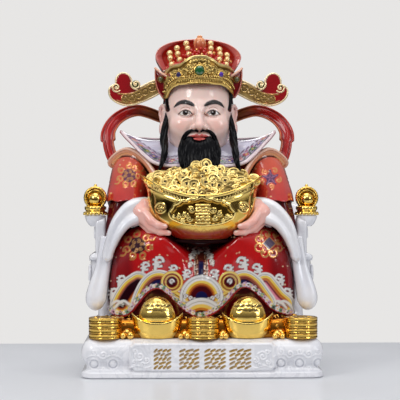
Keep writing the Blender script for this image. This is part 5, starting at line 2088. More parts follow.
def face_field(P):
    d = skull(P)
    # cheeks, brow, chin
    d = melt(d, egg_d(P, (20.5, front_of(20.5, 283) + 8.0, 283), (12.5, 10.6, 12)), 9)
    d = melt(d, egg_d(P, (0, front_of(0, 254) + 5.2, 254), (9.5, 7.0, 7.5)), 9)
    d = melt(d, chain(P, on_face([(5, 304.6), (14, 306.6), (24, 304.4)], -2.2), [2.6, 3.4, 2.6]), 7)
    # hollow of the eye, the ball in it and its lids
    y = float(front_of(EYE_X, EYE_Z))
    d = carve(d, egg_d(P, (EYE_X - 0.4, y - 1.6, EYE_Z - 0.2), (10.2, 4.6, 5.4)), 5)
    d = melt(d, egg_d(P, (EYE_X + 0.3, y + 7.6, EYE_Z - 0.7), (9.4, 8.2, 8.0)), 0.8)
    up, low = on_face(LID_UP, -0.5), on_face(LID_LOW, -0.9)
    d = melt(d, chain(P, up, np.interp(np.linspace(0, 1, 11), [0, 0.2, 0.7, 1], [0.7, 1.35, 1.45, 0.8])), 1.6)
    d = melt(d, chain(P, on_face(LID_UP + [0, 2.6], -1.3), 1.7), 2.6)
    d = melt(d, chain(P, low, np.interp(np.linspace(0, 1, 11), [0, 0.3, 0.8, 1], [0.6, 1.05, 1.05, 0.7])), 1.7)
    # nose
    n0, n1 = float(front_of(0, 303)), float(front_of(0, 282))
    d = melt(d, chain(P, [(0, n0 + 1.4, 306), (0, n0 - 0.4, 299), (0, n1 - 4.4, 287), (0, n1 - 6.2, 282.4)], [3.0, 3.1, 3.9, 4.4], 3), 5.5)
    d = melt(d, egg_d(P, (0, n1 - 6.4, 281.4), (5.0, 4.9, 4.5)), 3)
    d = melt(d, egg_d(P, (5.9, n1 - 2.0, 280.0), (3.6, 4.5, 3.4)), 2.2)
    d = carve(d, cone_d(P, (3.3, n1 - 5.0, 276.6), (3.9, n1 - 2.6, 277.0), 1.0, 1.2), 0.9)
    d = carve(d, chain(P, [(9.8, float(front_of(9.8, 283)) - 1.2, 283), (13.2, float(front_of(13.2, 277)) - 1.0, 277), (15.0, float(front_of(15, 271)) - 0.6, 271)], 0.5), 3.2)
    # lips
    m = float(front_of(0, 268))
    d = melt(d, egg_d(P, (0, m + 2.0, 268.6), (13.5, 5.2, 7.0)), 5)
    d = melt(d, chain(P, [(0, m - 3.0, 270.9), (2.6, m - 3.3, 271.3), (7, m - 1.6, 270.8), (12.0, float(front_of(12, 270)) - 0.2, 269.9)], [1.5, 1.7, 1.4, 0.7]), 1.6)
    d = melt(d, chain(P, [(0, m - 2.9, 265.6), (5, m - 2.3, 266.0), (10.8, float(front_of(10.8, 268)) - 0.4, 268.6)], [2.1, 1.8, 0.7]), 1.7)
    line_ = np.stack([LIP_LINE[:, 0], [float(front_of(x, z)) - (3.9 if x < 3 else 3.4 if x < 6 else 2.2 if x < 10 else 1.0) for x, z in LIP_LINE], LIP_LINE[:, 1]], -1)
    d = carve(d, chain(P, line_, [0.75] * 7 + [0.6, 0.4]), 0.8)
    d = carve(d, chain(P, [(0, m - 1.8, 276.4), (0, m - 4.9, 272.6)], 0.7), 2.2)
    # ear with its lobe
    e = melt(chain(P, [(38.8, -4, 305), (42.2, 0, 308), (44.4, 5, 305), (44.6, 6.5, 298), (43.2, 4.5, 291), (42.6, 0.5, 284)], [1.8, 2.0, 2.2, 2.2, 2.1, 2.3]),
             egg_d(P, (43.2, -3.6, 279.8), (2.9, 5.0, 7.4)), 4)
    e = melt(e, cone_d(P, (38.5, -2, 300), (39.5, 0, 286), 4.6, 4.2), 2.5)
    e = melt(e, chain(P, [(41.4, -1.5, 300), (42.4, 1.8, 294.5), (41.6, 0, 288)], 1.3), 1.4)
    d = melt(d, e, 2.2)
    return d


def head_piece():
    V, F = skin_of(both(face_field), (-49, -62, 246), (49, 20, 338), 0.82, 2)
    V, F, N = outward(V, F)
    base = np.zeros((len(V), 4))
    base[:, :3] = SKIN
    fwd = (N[:, 1] < 0.35)
    b = Brush(np.where(fwd, np.abs(V[:, 0]), 900), -V[:, 2], base)
    # warmth on the cheeks, nose, ears and chin
    b.put(0.34 * bell(np.hypot(b.U - 21, (b.V + 282.5) * 1.15), 10), srgb(236, 150, 132), 0)
    b.put(0.30 * bell(np.hypot(b.U - 0, b.V + 281.5), 6), srgb(236, 152, 134), 0)
    b.put(0.22 * bell(np.hypot(b.U - 0, b.V + 254), 9), srgb(238, 160, 140), 0)
    b.put(0.30 * step(39.5, 42.5, np.abs(V[:, 0])) * fwd, srgb(238, 158, 140), 0)
    # brows
    d, t = b.to(BROW * [1, -1], 8)
    w = np.interp(t, [0, 0.12, 0.4, 0.8, 1], [1.3, 2.2, 2.6, 1.9, 0.5])
    hairs = 0.99 + 0.01 * np.cos(b.U * 2.6 + b.V * 1.8)
    b.put((1 - step(w * 0.85, w * 1.15 + 0.25, d)) * hairs, srgb(16, 13, 15), 0, 0.35)
    # eyes: white, iris, pupil, a catch of light and the dark line of the lid
    up, low = LID_UP, LID_LOW
    top_z, bot_z = np.interp(b.U, up[:, 0], up[:, 1]), np.interp(b.U, low[:, 0], low[:, 1])
    open_ = (b.U > 8.4) & (b.U < 23.8) & (-b.V < top_z - 0.5) & (-b.V > bot_z + 0.35)
    b.put(open_ * 1.0, srgb(238, 232, 226), 0)
    b.put(open_ * (1 - step(3.0, 3.5, np.hypot(b.U - 16.0, b.V + 297.2))), srgb(52, 34, 26), 0)
    b.put(open_ * (1 - step(1.5, 1.9, np.hypot(b.U - 16.0, b.V + 297.2))), srgb(10, 8, 8), 0)
    b.put(open_ * (1 - step(0.5, 0.9, np.hypot(b.U - 15.2, b.V + 298.2))), srgb(250, 250, 250), 0)
    b.line(up * [1, -1] + [0, 0.5], 0.95, srgb(30, 20, 20))
    b.line(low * [1, -1] + [0, -0.3], 0.42, srgb(150, 96, 88))
    b.line((up * [1, -1] + [0, -2.9])[2:9], 0.45, srgb(196, 132, 118))
    # lips
    poly = [(0, 270.9), (2.8, 272.6), (7.5, 271.6), (12.4, 269.8), (9.5, 266.6), (5, 264.4), (0, 263.9)]
    pz = np.asarray(poly)
    uz = np.interp(b.U, pz[:4, 0], pz[:4, 1])
    lz = np.interp(b.U, pz[:2:-1, 0], pz[:2:-1, 1])
    k = (1 - step(-0.3, 0.5, -b.V - uz)) * step(-0.5, 0.3, -b.V - lz) * (1 - step(12.0, 12.6, b.U))
    b.put(k * 0.92, srgb(202, 56, 48), 0)
    b.line(LIP_LINE * [1, -1], 0.6, srgb(104, 16, 20))
    b.put(0.35 * bell(np.hypot((b.U - 4.5) / 1.8, b.V + 265.6), 1.2), srgb(228, 104, 90), 0)
    b.put(0.7 * (1 - step(1.0, 1.5, np.hypot(b.U - 3.6, b.V + 277.4))) * (N[:, 2] < 0.1), srgb(150, 70, 64), 0)
    # painted hair at the temples
    b.line([(38.4, -327), (38.0, -316), (37.2, -308), (35.8, -302)], 5.0, srgb(20, 18, 20), 0, 0.3)
    V = V + N * b.h[:, None]
    s = Soup()
    s.add((V, F), b.c)
    s.build("head", M_skin, "skin_glaze", ("figure",), sharp=80, dx=HX)


head_piece()


def lock(path, radii, strands=4, twist=1.1, spread=0.55, rows=70, n=10, seed=0):
    """A lock of hair: strands that wind about a path and run out to a point."""
    P = curve(np.asarray(path, float), rows)
    t = np.linspace(0, 1, rows)
    R = np.interp(t, np.linspace(0, 1, len(radii)), radii)
    U_, W_ = frames(P, (0, 1, 0))
    out = []
    for i in range(strands):
        a = i / strands * 2 * PI + twist * 2 * PI * t + seed
        off = spread * R
        Q = P + U_ * (np.cos(a) * off)[:, None] + W_ * (np.sin(a) * off)[:, None]
        r = R * (0.66 - 0.06 * (i % 2)) * np.sqrt(np.clip(1 - np.clip((t - 0.80) / 0.2, 0, 1) ** 2, 0.02, 1))
        out.append(sweep(Q, circle(n)[None] * r[:, None, None], (0, 1, 0)))
    return out


def hair_piece():
    s = Soup()

    # hair at the back of the head, drawn down to the nape
    def back(P):
        d = egg_d(P, (0, 4, 306), (41.6, 46.0, 50))
        d = melt(d, egg_d(P, (0, 14, 278), (34, 26, 26)), 10)
        cut = np.maximum(-(P[..., 1] - 2.5 - 0.10 * (P[..., 2] - 300)), 262 - P[..., 2])
        ear = 7.5 - np.sqrt(((P[..., 1] - 0.5) / 1.0) ** 2 + ((P[..., 2] - 294) / 2.0) ** 2)
        cut = np.maximum(cut, np.where(np.abs(P[..., 0]) > 30, ear, -9))
        return carve(d, -cut, 2.5) if False else np.maximum(d, cut)

    V, F = skin_of(back, (-46, -6, 258), (46, 54, 336), 1.15, 2)
    V, F, N = outward(V, F)
    a = np.arctan2(V[:, 0], V[:, 1] - 2)
    g = np.abs(np.cos(a * 22 + 0.5 * np.sin(V[:, 2] * 0.08))) ** 0.7
    V = V + N * (0.75 * (g - 0.6) * step(0.15, 0.5, np.hypot(N[:, 0], N[:, 1])))[:, None]
    s.add((V, F), BLACK)
    # sideburns in front of the ears
    for p in lock([(37.9, -16, 326), (37.8, -17, 316), (37.0, -18.5, 308), (36.2, -19.5, 302)], [1.7, 1.7, 1.4, 0.4], 3, 0.4, 0.5, 30, 8):
        s.add(p, BLACK, mirror=True, lean_=False)
    # long locks from behind the ears
    L = TO_HEAD + line_at([(167.0, 113, -10), (166.2, 121, -16), (164.4, 131, -22), (164.0, 141, -29), (164.9, 150, -41), (163.4, 158.5, -49), (160.8, 166, -53), (158.6, 172.5, -55)])
    for p in lock(L, [2.0, 3.2, 4.1, 4.3, 4.1, 3.7, 2.9, 1.2], 4, 0.9, 0.5, 90, 12, 0.5):
        s.add(p, BLACK)
    L = TO_HEAD + line_at([(229.6, 113, -10), (230.8, 121, -16), (232.6, 131, -22), (233.6, 142, -29), (235.4, 152, -42), (236.8, 161, -50), (240.6, 172.5, -55)])
    for p in lock(L, [2.0, 3.2, 4.1, 4.3, 4.0, 3.4, 1.2], 4, -0.9, 0.5, 90, 12, 2.5):
        s.add(p, BLACK)
    s.build("hair", M_black, "black_glaze", ("figure",), sharp=70, dx=HX)


hair_piece()


def beard_piece():
    s = Soup()
    # the body of the beard, grooved lengthwise
    keys = [[266.5, 12, 4.0, -39.5], [262, 16.5, 7.5, -40.5], [256, 19.6, 9.0, -42.6], [249, 20.8, 9.6, -45.2], [242, 21.2, 9.6, -47.6], [236, 20.6, 9.0, -49.4], [231, 18.2, 7.6, -50.8]]
    z = np.linspace(266.5, 231, 70)
    q = np.stack([np.interp(z, [k[0] for k in keys][::-1], [k[j] for k in keys][::-1]) for j in (1, 2, 3)], -1)
    n = 420
    a = np.arange(n) / n * 2 * PI
    c, d = np.cos(a), np.sin(a)
    t = (266.5 - z) / 35.5
    ph = np.arcsin(np.clip(c, -1, 1))
    g = np.abs(np.cos(13.5 * ph[None] + 0.5 * np.sin(5 * t)[:, None] + 0.8 * np.sin(ph * 4)[None])) ** 0.8
    g2 = np.abs(np.cos(31 * ph[None] + 1.4 * np.sin(4 * t + 1)[:, None])) ** 0.8
    w = (0.9 * (g - 0.7) + 0.25 * (g2 - 0.7)) * np.minimum(1, 0.35 + 1.6 * t)[:, None]
    X = c[None] * (q[:, :1] + w)
    Y = q[:, 2:3] + d[None] * (q[:, 1:2] + w)
    Z = z[:, None] + 3.0 * (c[None] ** 2) * (1 - t)[:, None] * 1.6 - 3.5 * t[:, None] * np.abs(np.sin(ph * 5.0))[None]
    s.add(loft(np.stack([X, Y, np.broadcast_to(Z, X.shape)], -1)), BLACK)
    # strands that stand clear of it, with pointed ends
    r = np.random.default_rng(12)
    for i in range(11):
        x = -19 + 38 * i / 10
        k = abs(x) / 20
        path = [(x * 0.62, -44.6 + 4 * k, 262 + 2 * k), (x * 0.9 + r.normal() * 0.3, -50.6 + 4.0 * k, 254), (x + r.normal() * 0.4, -54.2 + 4.6 * k, 246), (x * 1.02 + r.normal() * 0.6, -56.4 + 5 * k, 238), (x * 1.0 + r.normal() * 0.8, -57.6 + 5 * k, 229.5 - 1.5 * k)]
        for p in lock(path, [1.0, 2.0, 2.2, 1.9, 0.6], 3, 0.5 * (-1) ** i, 0.5, 50, 8, i):
            s.add(p, BLACK)
    # a tuft under the lip
    for p in lock([(0, float(front_of(0, 262.5)) - 1.8, 262.6), (0, -44.6, 259.5), (0, -49, 254)], [1.2, 2.2, 1.0], 3, 0.3, 0.5, 24, 8):
        s.add(p, BLACK)
    # moustache: from under the nose, over the lip's corners and down beside the beard
    def f(x, zz, lift):
        return (x, float(front_of(x, zz)) - lift, zz)
    M = [f(1.4, 275.2, 4.4), f(5.5, 276.6, 3.4), f(11, 275.6, 2.6), f(15.8, 271.4, 2.6), f(18.6, 265, 3.4), (20.4, -41.5, 257), (21.4, -46.0, 248.5), (21.0, -50.0, 240), (19.4, -53.0, 231)]
    for j, p in enumerate(lock(M, [1.0, 1.7, 2.3, 2.9, 3.3, 3.4, 3.0, 2.2, 0.8], 4, 0.8, 0.5, 110, 10, 0.3)):
        s.add(p, BLACK, mirror=True, lean_=False)
    s.build("beard", M_black, "black_glaze", ("figure",), sharp=70, dx=HX)


beard_piece()


def hand_field(P):
    q = lambda u, v, y: at(u, v, y)
    # wrist and palm
    d = chain(P, [q(136, 206, -54), q(140, 211, -57), q(145, 218, -60)], [8.0, 8.8, 8.4], 3)
    d = melt(d, chain(P, [q(140, 205, -55), q(145, 204, -58), q(147.6, 207.5, -61)], [7.0, 5.6, 3.4], 3), 4)
    d = melt(d, chain(P, [q(142, 213, -60), q(150, 222.4, -64)], [8.6, 6.2], 3), 4)
    # thumb side finger along the bowl
    f1 = chain(P, [q(145, 213, -66), q(151.6, 221.2, -71), q(158.4, 225.2, -74), q(165.0, 226.3, -75.5)], [5.2, 4.7, 4.1, 3.0], 1.5)
    f2 = chain(P, [q(143, 219, -62), q(151, 227.2, -67), q(160, 231.4, -70), q(168.6, 233.0, -71)], [5.6, 5.1, 4.4, 3.1], 1.5)
    f3 = chain(P, [q(142, 222, -56), q(150, 230.0, -60), q(158.5, 234.0, -63), q(166.4, 236.4, -63.5)], [5.2, 4.7, 4.0, 2.9], 1.5)
    f4 = chain(P, [q(141, 220, -48), q(149, 230.0, -52), q(157, 234.6, -54), q(163, 236.8, -54)], [4.8, 4.3, 3.6, 2.7], 1.5)
    d = melt(d, f1, 1.6)
    d = melt(d, f2, 1.4)
    d = melt(d, f3, 1.2)
    d = melt(d, f4, 1.2)
    return d


def hands_piece():
    V, F = skin_of(hand_field, (-88, -84, 142), (-28, -40, 206), 0.8, 2)
    V, F, N = outward(V, F)
    base = np.zeros((len(V), 4))
    base[:, :3] = srgb(242, 186, 174)
    for u, v, y in ((165.5, 226.5, -76), (169, 233.4, -72), (146, 205, -61), (151, 222, -72)):
        k = bell(np.linalg.norm(V - at(u, v, y), axis=1), 6.0) * 0.5
        base[:, :3] = mix(base[:, :3], np.array(srgb(238, 150, 130)), k[:, None])
    # nails
    for u, v, y, nr in ((165.6, 224.9, -78.4, 1.9), (169.4, 231.2, -73.8, 1.8)):
        d = np.linalg.norm((V - at(u, v, y)) / [1.4, 1, 1], axis=1)
        m = 1 - step(nr - 0.3, nr + 0.2, d)
        base[:, :3] = mix(base[:, :3], np.array(srgb(250, 214, 204)), m[:, None])
    s = Soup()
    s.add((V, F), base, mirror=True)
    s.build("hands", M_skin, "skin_glaze", ("figure",), sharp=80)


hands_piece()


# ------------------------------------------------------------------ hat
TI_X, TI_Y, TI_C = 42.0, 48.5, 1.5
TOP_EDGE = np.array([(158, 77.5), (163, 75.8), (165.6, 74.6), (167.6, 70.4), (170.6, 67.4), (175, 65.8), (180, 64.8), (183, 63.0), (186, 60.4), (189.6, 58.2), (193.6, 56.8), (200, 56.2), (206, 56.8), (210, 58.4), (214, 60.6), (217, 63.2), (220, 64.9), (225, 65.9), (229.4, 67.6), (232.4, 70.6), (234.4, 74.8), (237, 76), (242, 77.6)])
LOW_EDGE = np.array([(158, 99), (165.8, 98.6), (167.2, 94.8), (169.6, 90.4), (173.4, 86.8), (179, 84.4), (188, 83.6), (200, 83.4), (212, 83.6), (221, 84.4), (226.6, 86.8), (230.4, 90.4), (232.8, 94.8), (234.2, 98.6), (242, 99)])


def round_tiara(a, out=0.0):
    return HX + np.sin(a) * (TI_X + out), TI_C - np.cos(a) * (TI_Y + out)


def at_each(u, v, y):
    return np.stack([at(uu, vv, yy) for uu, vv, yy in zip(u, v, y)])


def tiara_piece():
    s = Soup()
    n, m = 404, 42
    a = np.linspace(-2.15, 2.15, n)
    t = np.linspace(0, 1, m)
    x, y = round_tiara(a)
    u, _ = seen(np.stack([x, y, 0 * x + 330], -1))
    vt, vl = np.interp(u, TOP_EDGE[:, 0], TOP_EDGE[:, 1]), np.interp(u, LOW_EDGE[:, 0], LOW_EDGE[:, 1])
    zt, zl = at_each(u, vt, y)[:, 2], at_each(u, vl, y)[:, 2]
    zt = mix(zt, 331.5, step(1.45, 1.62, np.abs(a)))
    zl = mix(zl, 318.0, step(1.36, 1.75, np.abs(a)))
    zt, zl = np.maximum(zt, zl + 4), zl
    Z = zl[None] + (zt - zl)[None] * t[:, None]
    G = np.stack([np.broadcast_to(x, Z.shape), np.broadcast_to(y, Z.shape), Z], -1)
    V, F = slab(G, 2.4 + 0 * Z)
    V, F, N = outward(V, F)
    arc = a * 45.5
    side_ = np.hypot((V[:, 0] - HX) / TI_X, (V[:, 1] - TI_C) / TI_Y)
    outer = side_ > 0.985
    ang = np.arctan2((V[:, 0] - HX) / TI_X, -(V[:, 1] - TI_C) / TI_Y)
    S_ = ang * 45.5
    H = np.interp(ang, a, zt) - V[:, 2]
    L = V[:, 2] - np.interp(ang, a, zl)
    base = np.zeros((len(V), 4))
    base[:, :3] = GOLD_DARK
    base[:, :3] = srgb(150, 114, 48)
    base[:, 3] = 0.85
    b = Brush(np.where(outer, S_, 900), H, base)
    gold, dark = srgb(232, 200, 120), srgb(104, 74, 28)
    b.put(0.6 * step(2.2, 3.0, H) * step(6.5, 7.5, L), dark, 0.8, -0.35)
    # scrolls: two rows that wind to either side of the middle
    for sgn in (-1, 1):
        for i in range(11):
            s0 = sgn * (8.6 + i * 6.6)
            if abs(s0) > 88:
                continue
            hh = np.interp(abs(s0) / 45.5, a, zt) - np.interp(abs(s0) / 45.5, a, zl)
            mid = 4.0 + (hh - 10.0) * 0.30
            r = np.clip((hh - 9.5) * 0.24, 1.5, 3.4)
            b.line(spiral(s0, mid, 0.4, r, 1.5, 0.6 * i, 22, sgn * (1 if i % 2 else -1)), 1.0, gold, 0.95, 0.85)
            b.line(spiral(s0 + sgn * 3.1, mid + r * 1.75, 0.3, r * 0.75, 1.3, 1.5 * i, 18, -sgn), 0.9, gold, 0.95, 0.75)
            b.line(curve([(s0 - sgn * 3, mid + r), (s0, mid + r * 0.9 + 0.8), (s0 + sgn * 3.4, mid - r * 0.2)], 9), 0.8, gold, 0.9, 0.6)
            b.disc(s0 + sgn * 3.2, mid - r * 0.6, 0.8, gold, 0.95, 0.9)
    for i in range(7):
        b.line(spiral((i - 3) * 3.8, 3.9 + 0.25 * abs(i - 3), 0.3, 1.6, 1.2, i, 14, 1 if i % 2 else -1), 0.8, gold, 0.95, 0.7)
    for k in range(12):
        q = k / 12 * 2 * PI
        b.disc(9.4 * math.cos(q), 16.4 + 8.4 * math.sin(q), 0.9, gold, 0.95, 0.9)
    # lower band: a plain fillet, then upright ribs
    b2 = Brush(np.where(outer, S_, 900), L, b.c)
    b2.h = b.h
    on = 1 - step(6.3, 6.8, L)
    b2.put(on * outer, srgb(178, 140, 66), 0.9, 0.25)
    rib = 0.5 + 0.5 * np.cos(S_ * 2 * PI / 2.3)
    zone = step(1.2, 1.6, L) * (1 - step(4.2, 4.7, L))
    b2.put(outer * zone * rib ** 2, gold, 1.0, 0.85)
    b2.put(outer * zone * (1 - rib) ** 3 * 0.8, dark, 0.8, -0.2)
    b2.put(outer * bell(L - 6.0, 0.75), gold, 1.0, 0.9)
    b2.put(outer * (1 - step(0.6, 1.1, L)), gold, 1.0, 0.9)
    b2.put(outer * (1 - step(1.3, 1.8, H)), srgb(240, 212, 140), 1.0, 1.1)
    V = V + N * (b2.h * 0.9)[:, None]
    s.add((V, F), b2.c)
    # bright wire on the top edge, a row of beads, and a wire below
    edge = np.stack([x, y, zt + 0.4], -1)
    s.add(tube(edge[8:-8:2], 1.15, 8, (0, 0, 1)), srgb(240, 214, 146), 1.0)
    for k in range(-26, 27):
        q = k * 0.067
        px_, py_ = round_tiara(np.array([q]), 1.3)
        zz = float(np.interp(q, a, zl)) + 8.0
        if abs(q) < 1.45:
            s.add(egg((px_[0], py_[0], zz), (1.15, 1.15, 1.15), 10, 6), srgb(236, 206, 130), 1.0)
    # settings of the stones
    for uu, vv, r in ((199.6, 70.4, 5.2), (179.4, 74.8, 3.0), (220.4, 74.5, 3.0), (170.6, 75.2, 1.9), (229.0, 75.2, 1.9)):
        X0 = at(uu, vv, -44)[0]
        q = math.asin(np.clip((X0 - HX) / TI_X, -1, 1))
        px_, py_ = round_tiara(np.array([q]), 0.6)
        c0 = at(uu, vv, py_[0])
        nrm = np.array([math.sin(q) / TI_X, -math.cos(q) / TI_Y, 0.0])
        nrm /= np.linalg.norm(nrm)
        rr = r * 1.13
        prof = [(0, -1.6), (rr * 1.14, -1.4), (rr * 1.22, 0.5), (rr * 1.12, 1.5), (rr * 0.98, 1.7), (rr * 0.92, 1.0), (0, 0.9)]
        Vb, Fb = lathe(prof, 36)
        s.add((to_normal(Vb, nrm, c0), Fb), srgb(228, 194, 112), 1.0)
        k = max(10, int(rr * 3.2))
        for j in range(k):
            w = j / k * 2 * PI
            s.add((to_normal(egg((math.cos(w) * rr * 1.36, math.sin(w) * rr * 1.36, 0.4), (0.85, 0.85, 0.8), 8, 5)[0], nrm, c0), egg((0, 0, 0), (1, 1, 1), 8, 5)[1]), srgb(236, 206, 130), 1.0)
        STONES.append((c0, nrm, rr))
    s.build("tiara", M_antique, "antique_gilt", ("figure",), sharp=50)


def to_normal(V, nrm, c0):
    """Turns a piece whose axis is Z so that it stands on c0 along nrm."""
    t = unit(np.cross((0, 0, 1.0), nrm)) if abs(nrm[2]) < 0.99 else np.array([1.0, 0, 0])
    w = np.cross(nrm, t)
    return np.asarray(c0) + V[:, :1] * t + V[:, 1:2] * w + V[:, 2:3] * nrm


STONES = []
tiara_piece()

CROWN = np.array([(163.8, 73), (159.8, 66.5), (156.0, 59.5), (155.5, 54.5), (157.6, 49.6), (162.6, 45.4), (170, 42.2), (180, 40.0), (190, 39.0), (200, 38.6), (209, 39.2), (219, 40.9), (228, 43.6), (235.2, 47.8), (239.8, 52.6), (241.4, 57.6), (239.6, 63), (234.6, 71)], float)


def crown_piece():
    s = Soup()
    # soft drum about the head
    lv = [[312, 40.0, 44.6, 2], [322, 41.0, 45.2, 2], [336, 41.8, 45.4, 2], [346, 41.8, 44.4, 2.5], [353, 39.5, 40.5, 4], [358.5, 34, 33, 6], [361.5, 24, 22, 8], [362.5, 10, 9, 8]]
    z = np.array([k[0] for k in lv], float)
    tt = np.linspace(0, 1, 60)
    Q = curve(np.asarray(lv, float), 64)
    n = 150
    cx, cy = superloop(n, 2.2, 1, 1)
    a = np.arange(n) / n * 2 * PI
    w = 1 + 0.012 * np.cos(14 * a)[None] * (1 - step(330, 350, Q[:, :1]))
    X = cx[None] * Q[:, 1:2] * w
    Y = Q[:, 3:4] + cy[None] * Q[:, 2:3] * w
    Z = np.broadcast_to(Q[:, :1], X.shape)
    up = smooth((0.05 - cy) / 0.4)[None]
    Z = mix(Z, np.maximum(Z, 337 + 0.02 * (Z - 337)), up)
    V, F = loft(np.stack([X, Y, Z], -1))
    V, F, N = outward(V, F)
    base = np.zeros((len(V), 4))
    base[:, :3] = srgb(176, 22, 26)
    b = Brush(np.where(V[:, 1] > 0, V[:, 0], 900), V[:, 2], base)
    for i in range(-3, 4):
        b.line(spiral(i * 11.5, 336 + 3 * (i % 2), 0.6, 4.6, 1.5, i, 24, 1 if i % 2 else -1), 1.1, srgb(224, 168, 84), 0.7, 0.3)
        b.disc(i * 11.5 + 5.8, 328, 1.1, srgb(224, 168, 84), 0.7, 0.3)
    for zz in (319.5, 347.5):
        b.put(1 - step(0.7, 1.1, np.abs(V[:, 2] - zz)), srgb(222, 170, 90), 0.8, 0.4)
    s.add((V + N * b.h[:, None], F), b.c)

    # the tall back panel: thick at its sides, hollow on its face
    o = np.vstack([curve(CROWN, 120)])
    O = (at_each(o[:, 0], o[:, 1], np.full(len(o), -2.0)) + TO_HEAD)[:, [0, 2]]
    low_l, low_r = O[0], O[-1]
    bottom = np.linspace(low_r, low_l, 60)[1:-1] + np.stack([0 * np.linspace(0, 1, 58), -2.5 * np.sin(np.linspace(0, PI, 58))], -1)
    O = np.vstack([O, bottom])
    c = np.array([0.3, 356.0])
    # inset: wide at the sides, narrow on top
    d = O - c
    k = np.abs(d[:, 0]) / 51
    top_in = 2.2 + 5.6 * np.clip((k - 0.45) / 0.55, 0, 1) ** 1.2
    nrm = unit(np.roll(O, -3, 0) - np.roll(O, 3, 0))
    nrm = np.stack([-nrm[:, 1], nrm[:, 0]], -1)
    if ((nrm * d).sum(1) < 0).mean() > 0.5:
        nrm = -nrm
    ring_ = lambda off, yy, sc=1.0, arch=0.0: np.stack([c[0] + (O[:, 0] - nrm[:, 0] * off - c[0]) * sc, 0 * O[:, 0] + yy, c[1] + (O[:, 1] - nrm[:, 1] * off - c[1]) * sc], -1)
    rows = [ring_(9, 34.5, 0.30), ring_(9, 35.0, 0.75), ring_(5.5, 34.6), ring_(2.4, 33.2), ring_(0.7, 30.4), ring_(0, 26.0), ring_(0, 18.0), ring_(0, 10), ring_(0.0, 3.5), ring_(0.35, 0.4), ring_(1.1, -1.0)]
    for q in (0.35, 0.7, 0.93):
        rows.append(ring_(1.1 + (top_in - 1.1) * q, -1.0 + 3.0 * q))
    rows += [ring_(top_in, 3.4), ring_(top_in + 0.5, 7.0), ring_(top_in + 1.8, 9.2), ring_(top_in + 4.5, 10.6), ring_(top_in + 5, 11.6, 0.75), ring_(top_in + 5, 12.2, 0.45), ring_(top_in + 5, 12.4, 0.15)]
    V, F = loft(np.asarray(rows))
    V, F, N = outward(V, F)
    lab = np.r_[np.repeat(np.arange(len(rows)), len(O)), 0, 0]
    base = np.zeros((len(V), 4))
    base[:, :3] = srgb(196, 34, 32)
    rim = (lab >= 9) & (lab <= 14)
    base[rim, :3] = srgb(212, 108, 104)
    base[(lab >= 5) & (lab < 9), :3] = srgb(176, 24, 28)
    base[lab > 14, :3] = srgb(218, 60, 44)
    b = Brush(np.where(V[:, 1] > 32, V[:, 0], 900), V[:, 2], base)
    # gilt work on the back of the panel
    edge2 = ring_(7.5, 0)[:, [0, 2]]
    b.line(np.vstack([edge2[:120], edge2[:1]])[:120], 1.3, srgb(226, 176, 90), 0.8, 0.3)
    for sgn in (-1, 1):
        b.line(curve([(sgn * 4, 350), (sgn * 14, 352), (sgn * 22, 360), (sgn * 30, 362), (sgn * 36, 368)], 24), 1.4, srgb(226, 176, 90), 0.8, 0.3)
        b.line(spiral(sgn * 14, 363, 0.8, 6.5, 1.6, 0.5, 30, sgn), 1.5, srgb(226, 176, 90), 0.8, 0.3)
        b.line(spiral(sgn * 32, 356, 0.6, 4.6, 1.5, 2.0, 26, -sgn), 1.3, srgb(226, 176, 90), 0.8, 0.3)
        b.line(spiral(sgn * 31, 373, 0.6, 4.0, 1.4, 1.0, 26, sgn), 1.3, srgb(226, 176, 90), 0.8, 0.3)
    for k in range(8):
        q = k / 8 * 2 * PI
        b.disc(3.4 * math.cos(q), 372 + 3.4 * math.sin(q), 1.5, srgb(226, 176, 90), 0.8, 0.4)
    s.add((V + N * b.h[:, None], F), b.c)

    # ear flaps beside the tiara
    flap = curve([(155.6, 68.8), (158.8, 71.4), (165.4, 75.8), (168, 84), (167.6, 92), (165.4, 97.6), (162.2, 97.2), (158.8, 91.6), (156.4, 84.2), (155.4, 75.6), (155.6, 68.8)], 60)[:-1]
    o = (at_each(flap[:, 0], flap[:, 1], np.full(len(flap), -12.0)) + TO_HEAD)[:, [0, 2]]
    V, F = plate(o, -13.5, -4.0, 0.9, 2.2, lambda P, q: 0.55 + 0.45 * step(0, 6, -q))
    V, F, N = outward(V, F)
    base = np.zeros((len(V), 4))
    base[:, :3] = srgb(120, 10, 18)
    s.add((V, F), base, mirror=True, lean_=False)
    s.build("crown", M_enamel, "red_glaze", ("figure",), sharp=55, dx=HX)

    # peach rims of the flaps and of the panel's face
    s = Soup()
    r = TO_HEAD + line_at([(155.2, 68.2, -13), (158.4, 70.8, -15), (162.4, 73.6, -17), (166.6, 76.0, -20)])
    s.add(tube(curve(r, 24), 1.35, 10, (0, 0, 1)), (*srgb(232, 178, 150), 0.0), mirror=True, lean_=False)
    r = TO_HEAD + line_at([(155.4, 68.6, -12), (155.3, 75.8, -12), (156.4, 84.4, -12), (158.8, 91.8, -12.5), (162.4, 97.4, -13)])
    s.add(tube(curve(r, 40), 0.8, 8, (0, 1, 0)), (*srgb(206, 120, 104), 0.0), mirror=True, lean_=False)
    s.add(tube(ring_(0.9, -0.6)[4:117], 0.75, 8, (0, 1, 0)), (*srgb(222, 140, 130), 0.0))
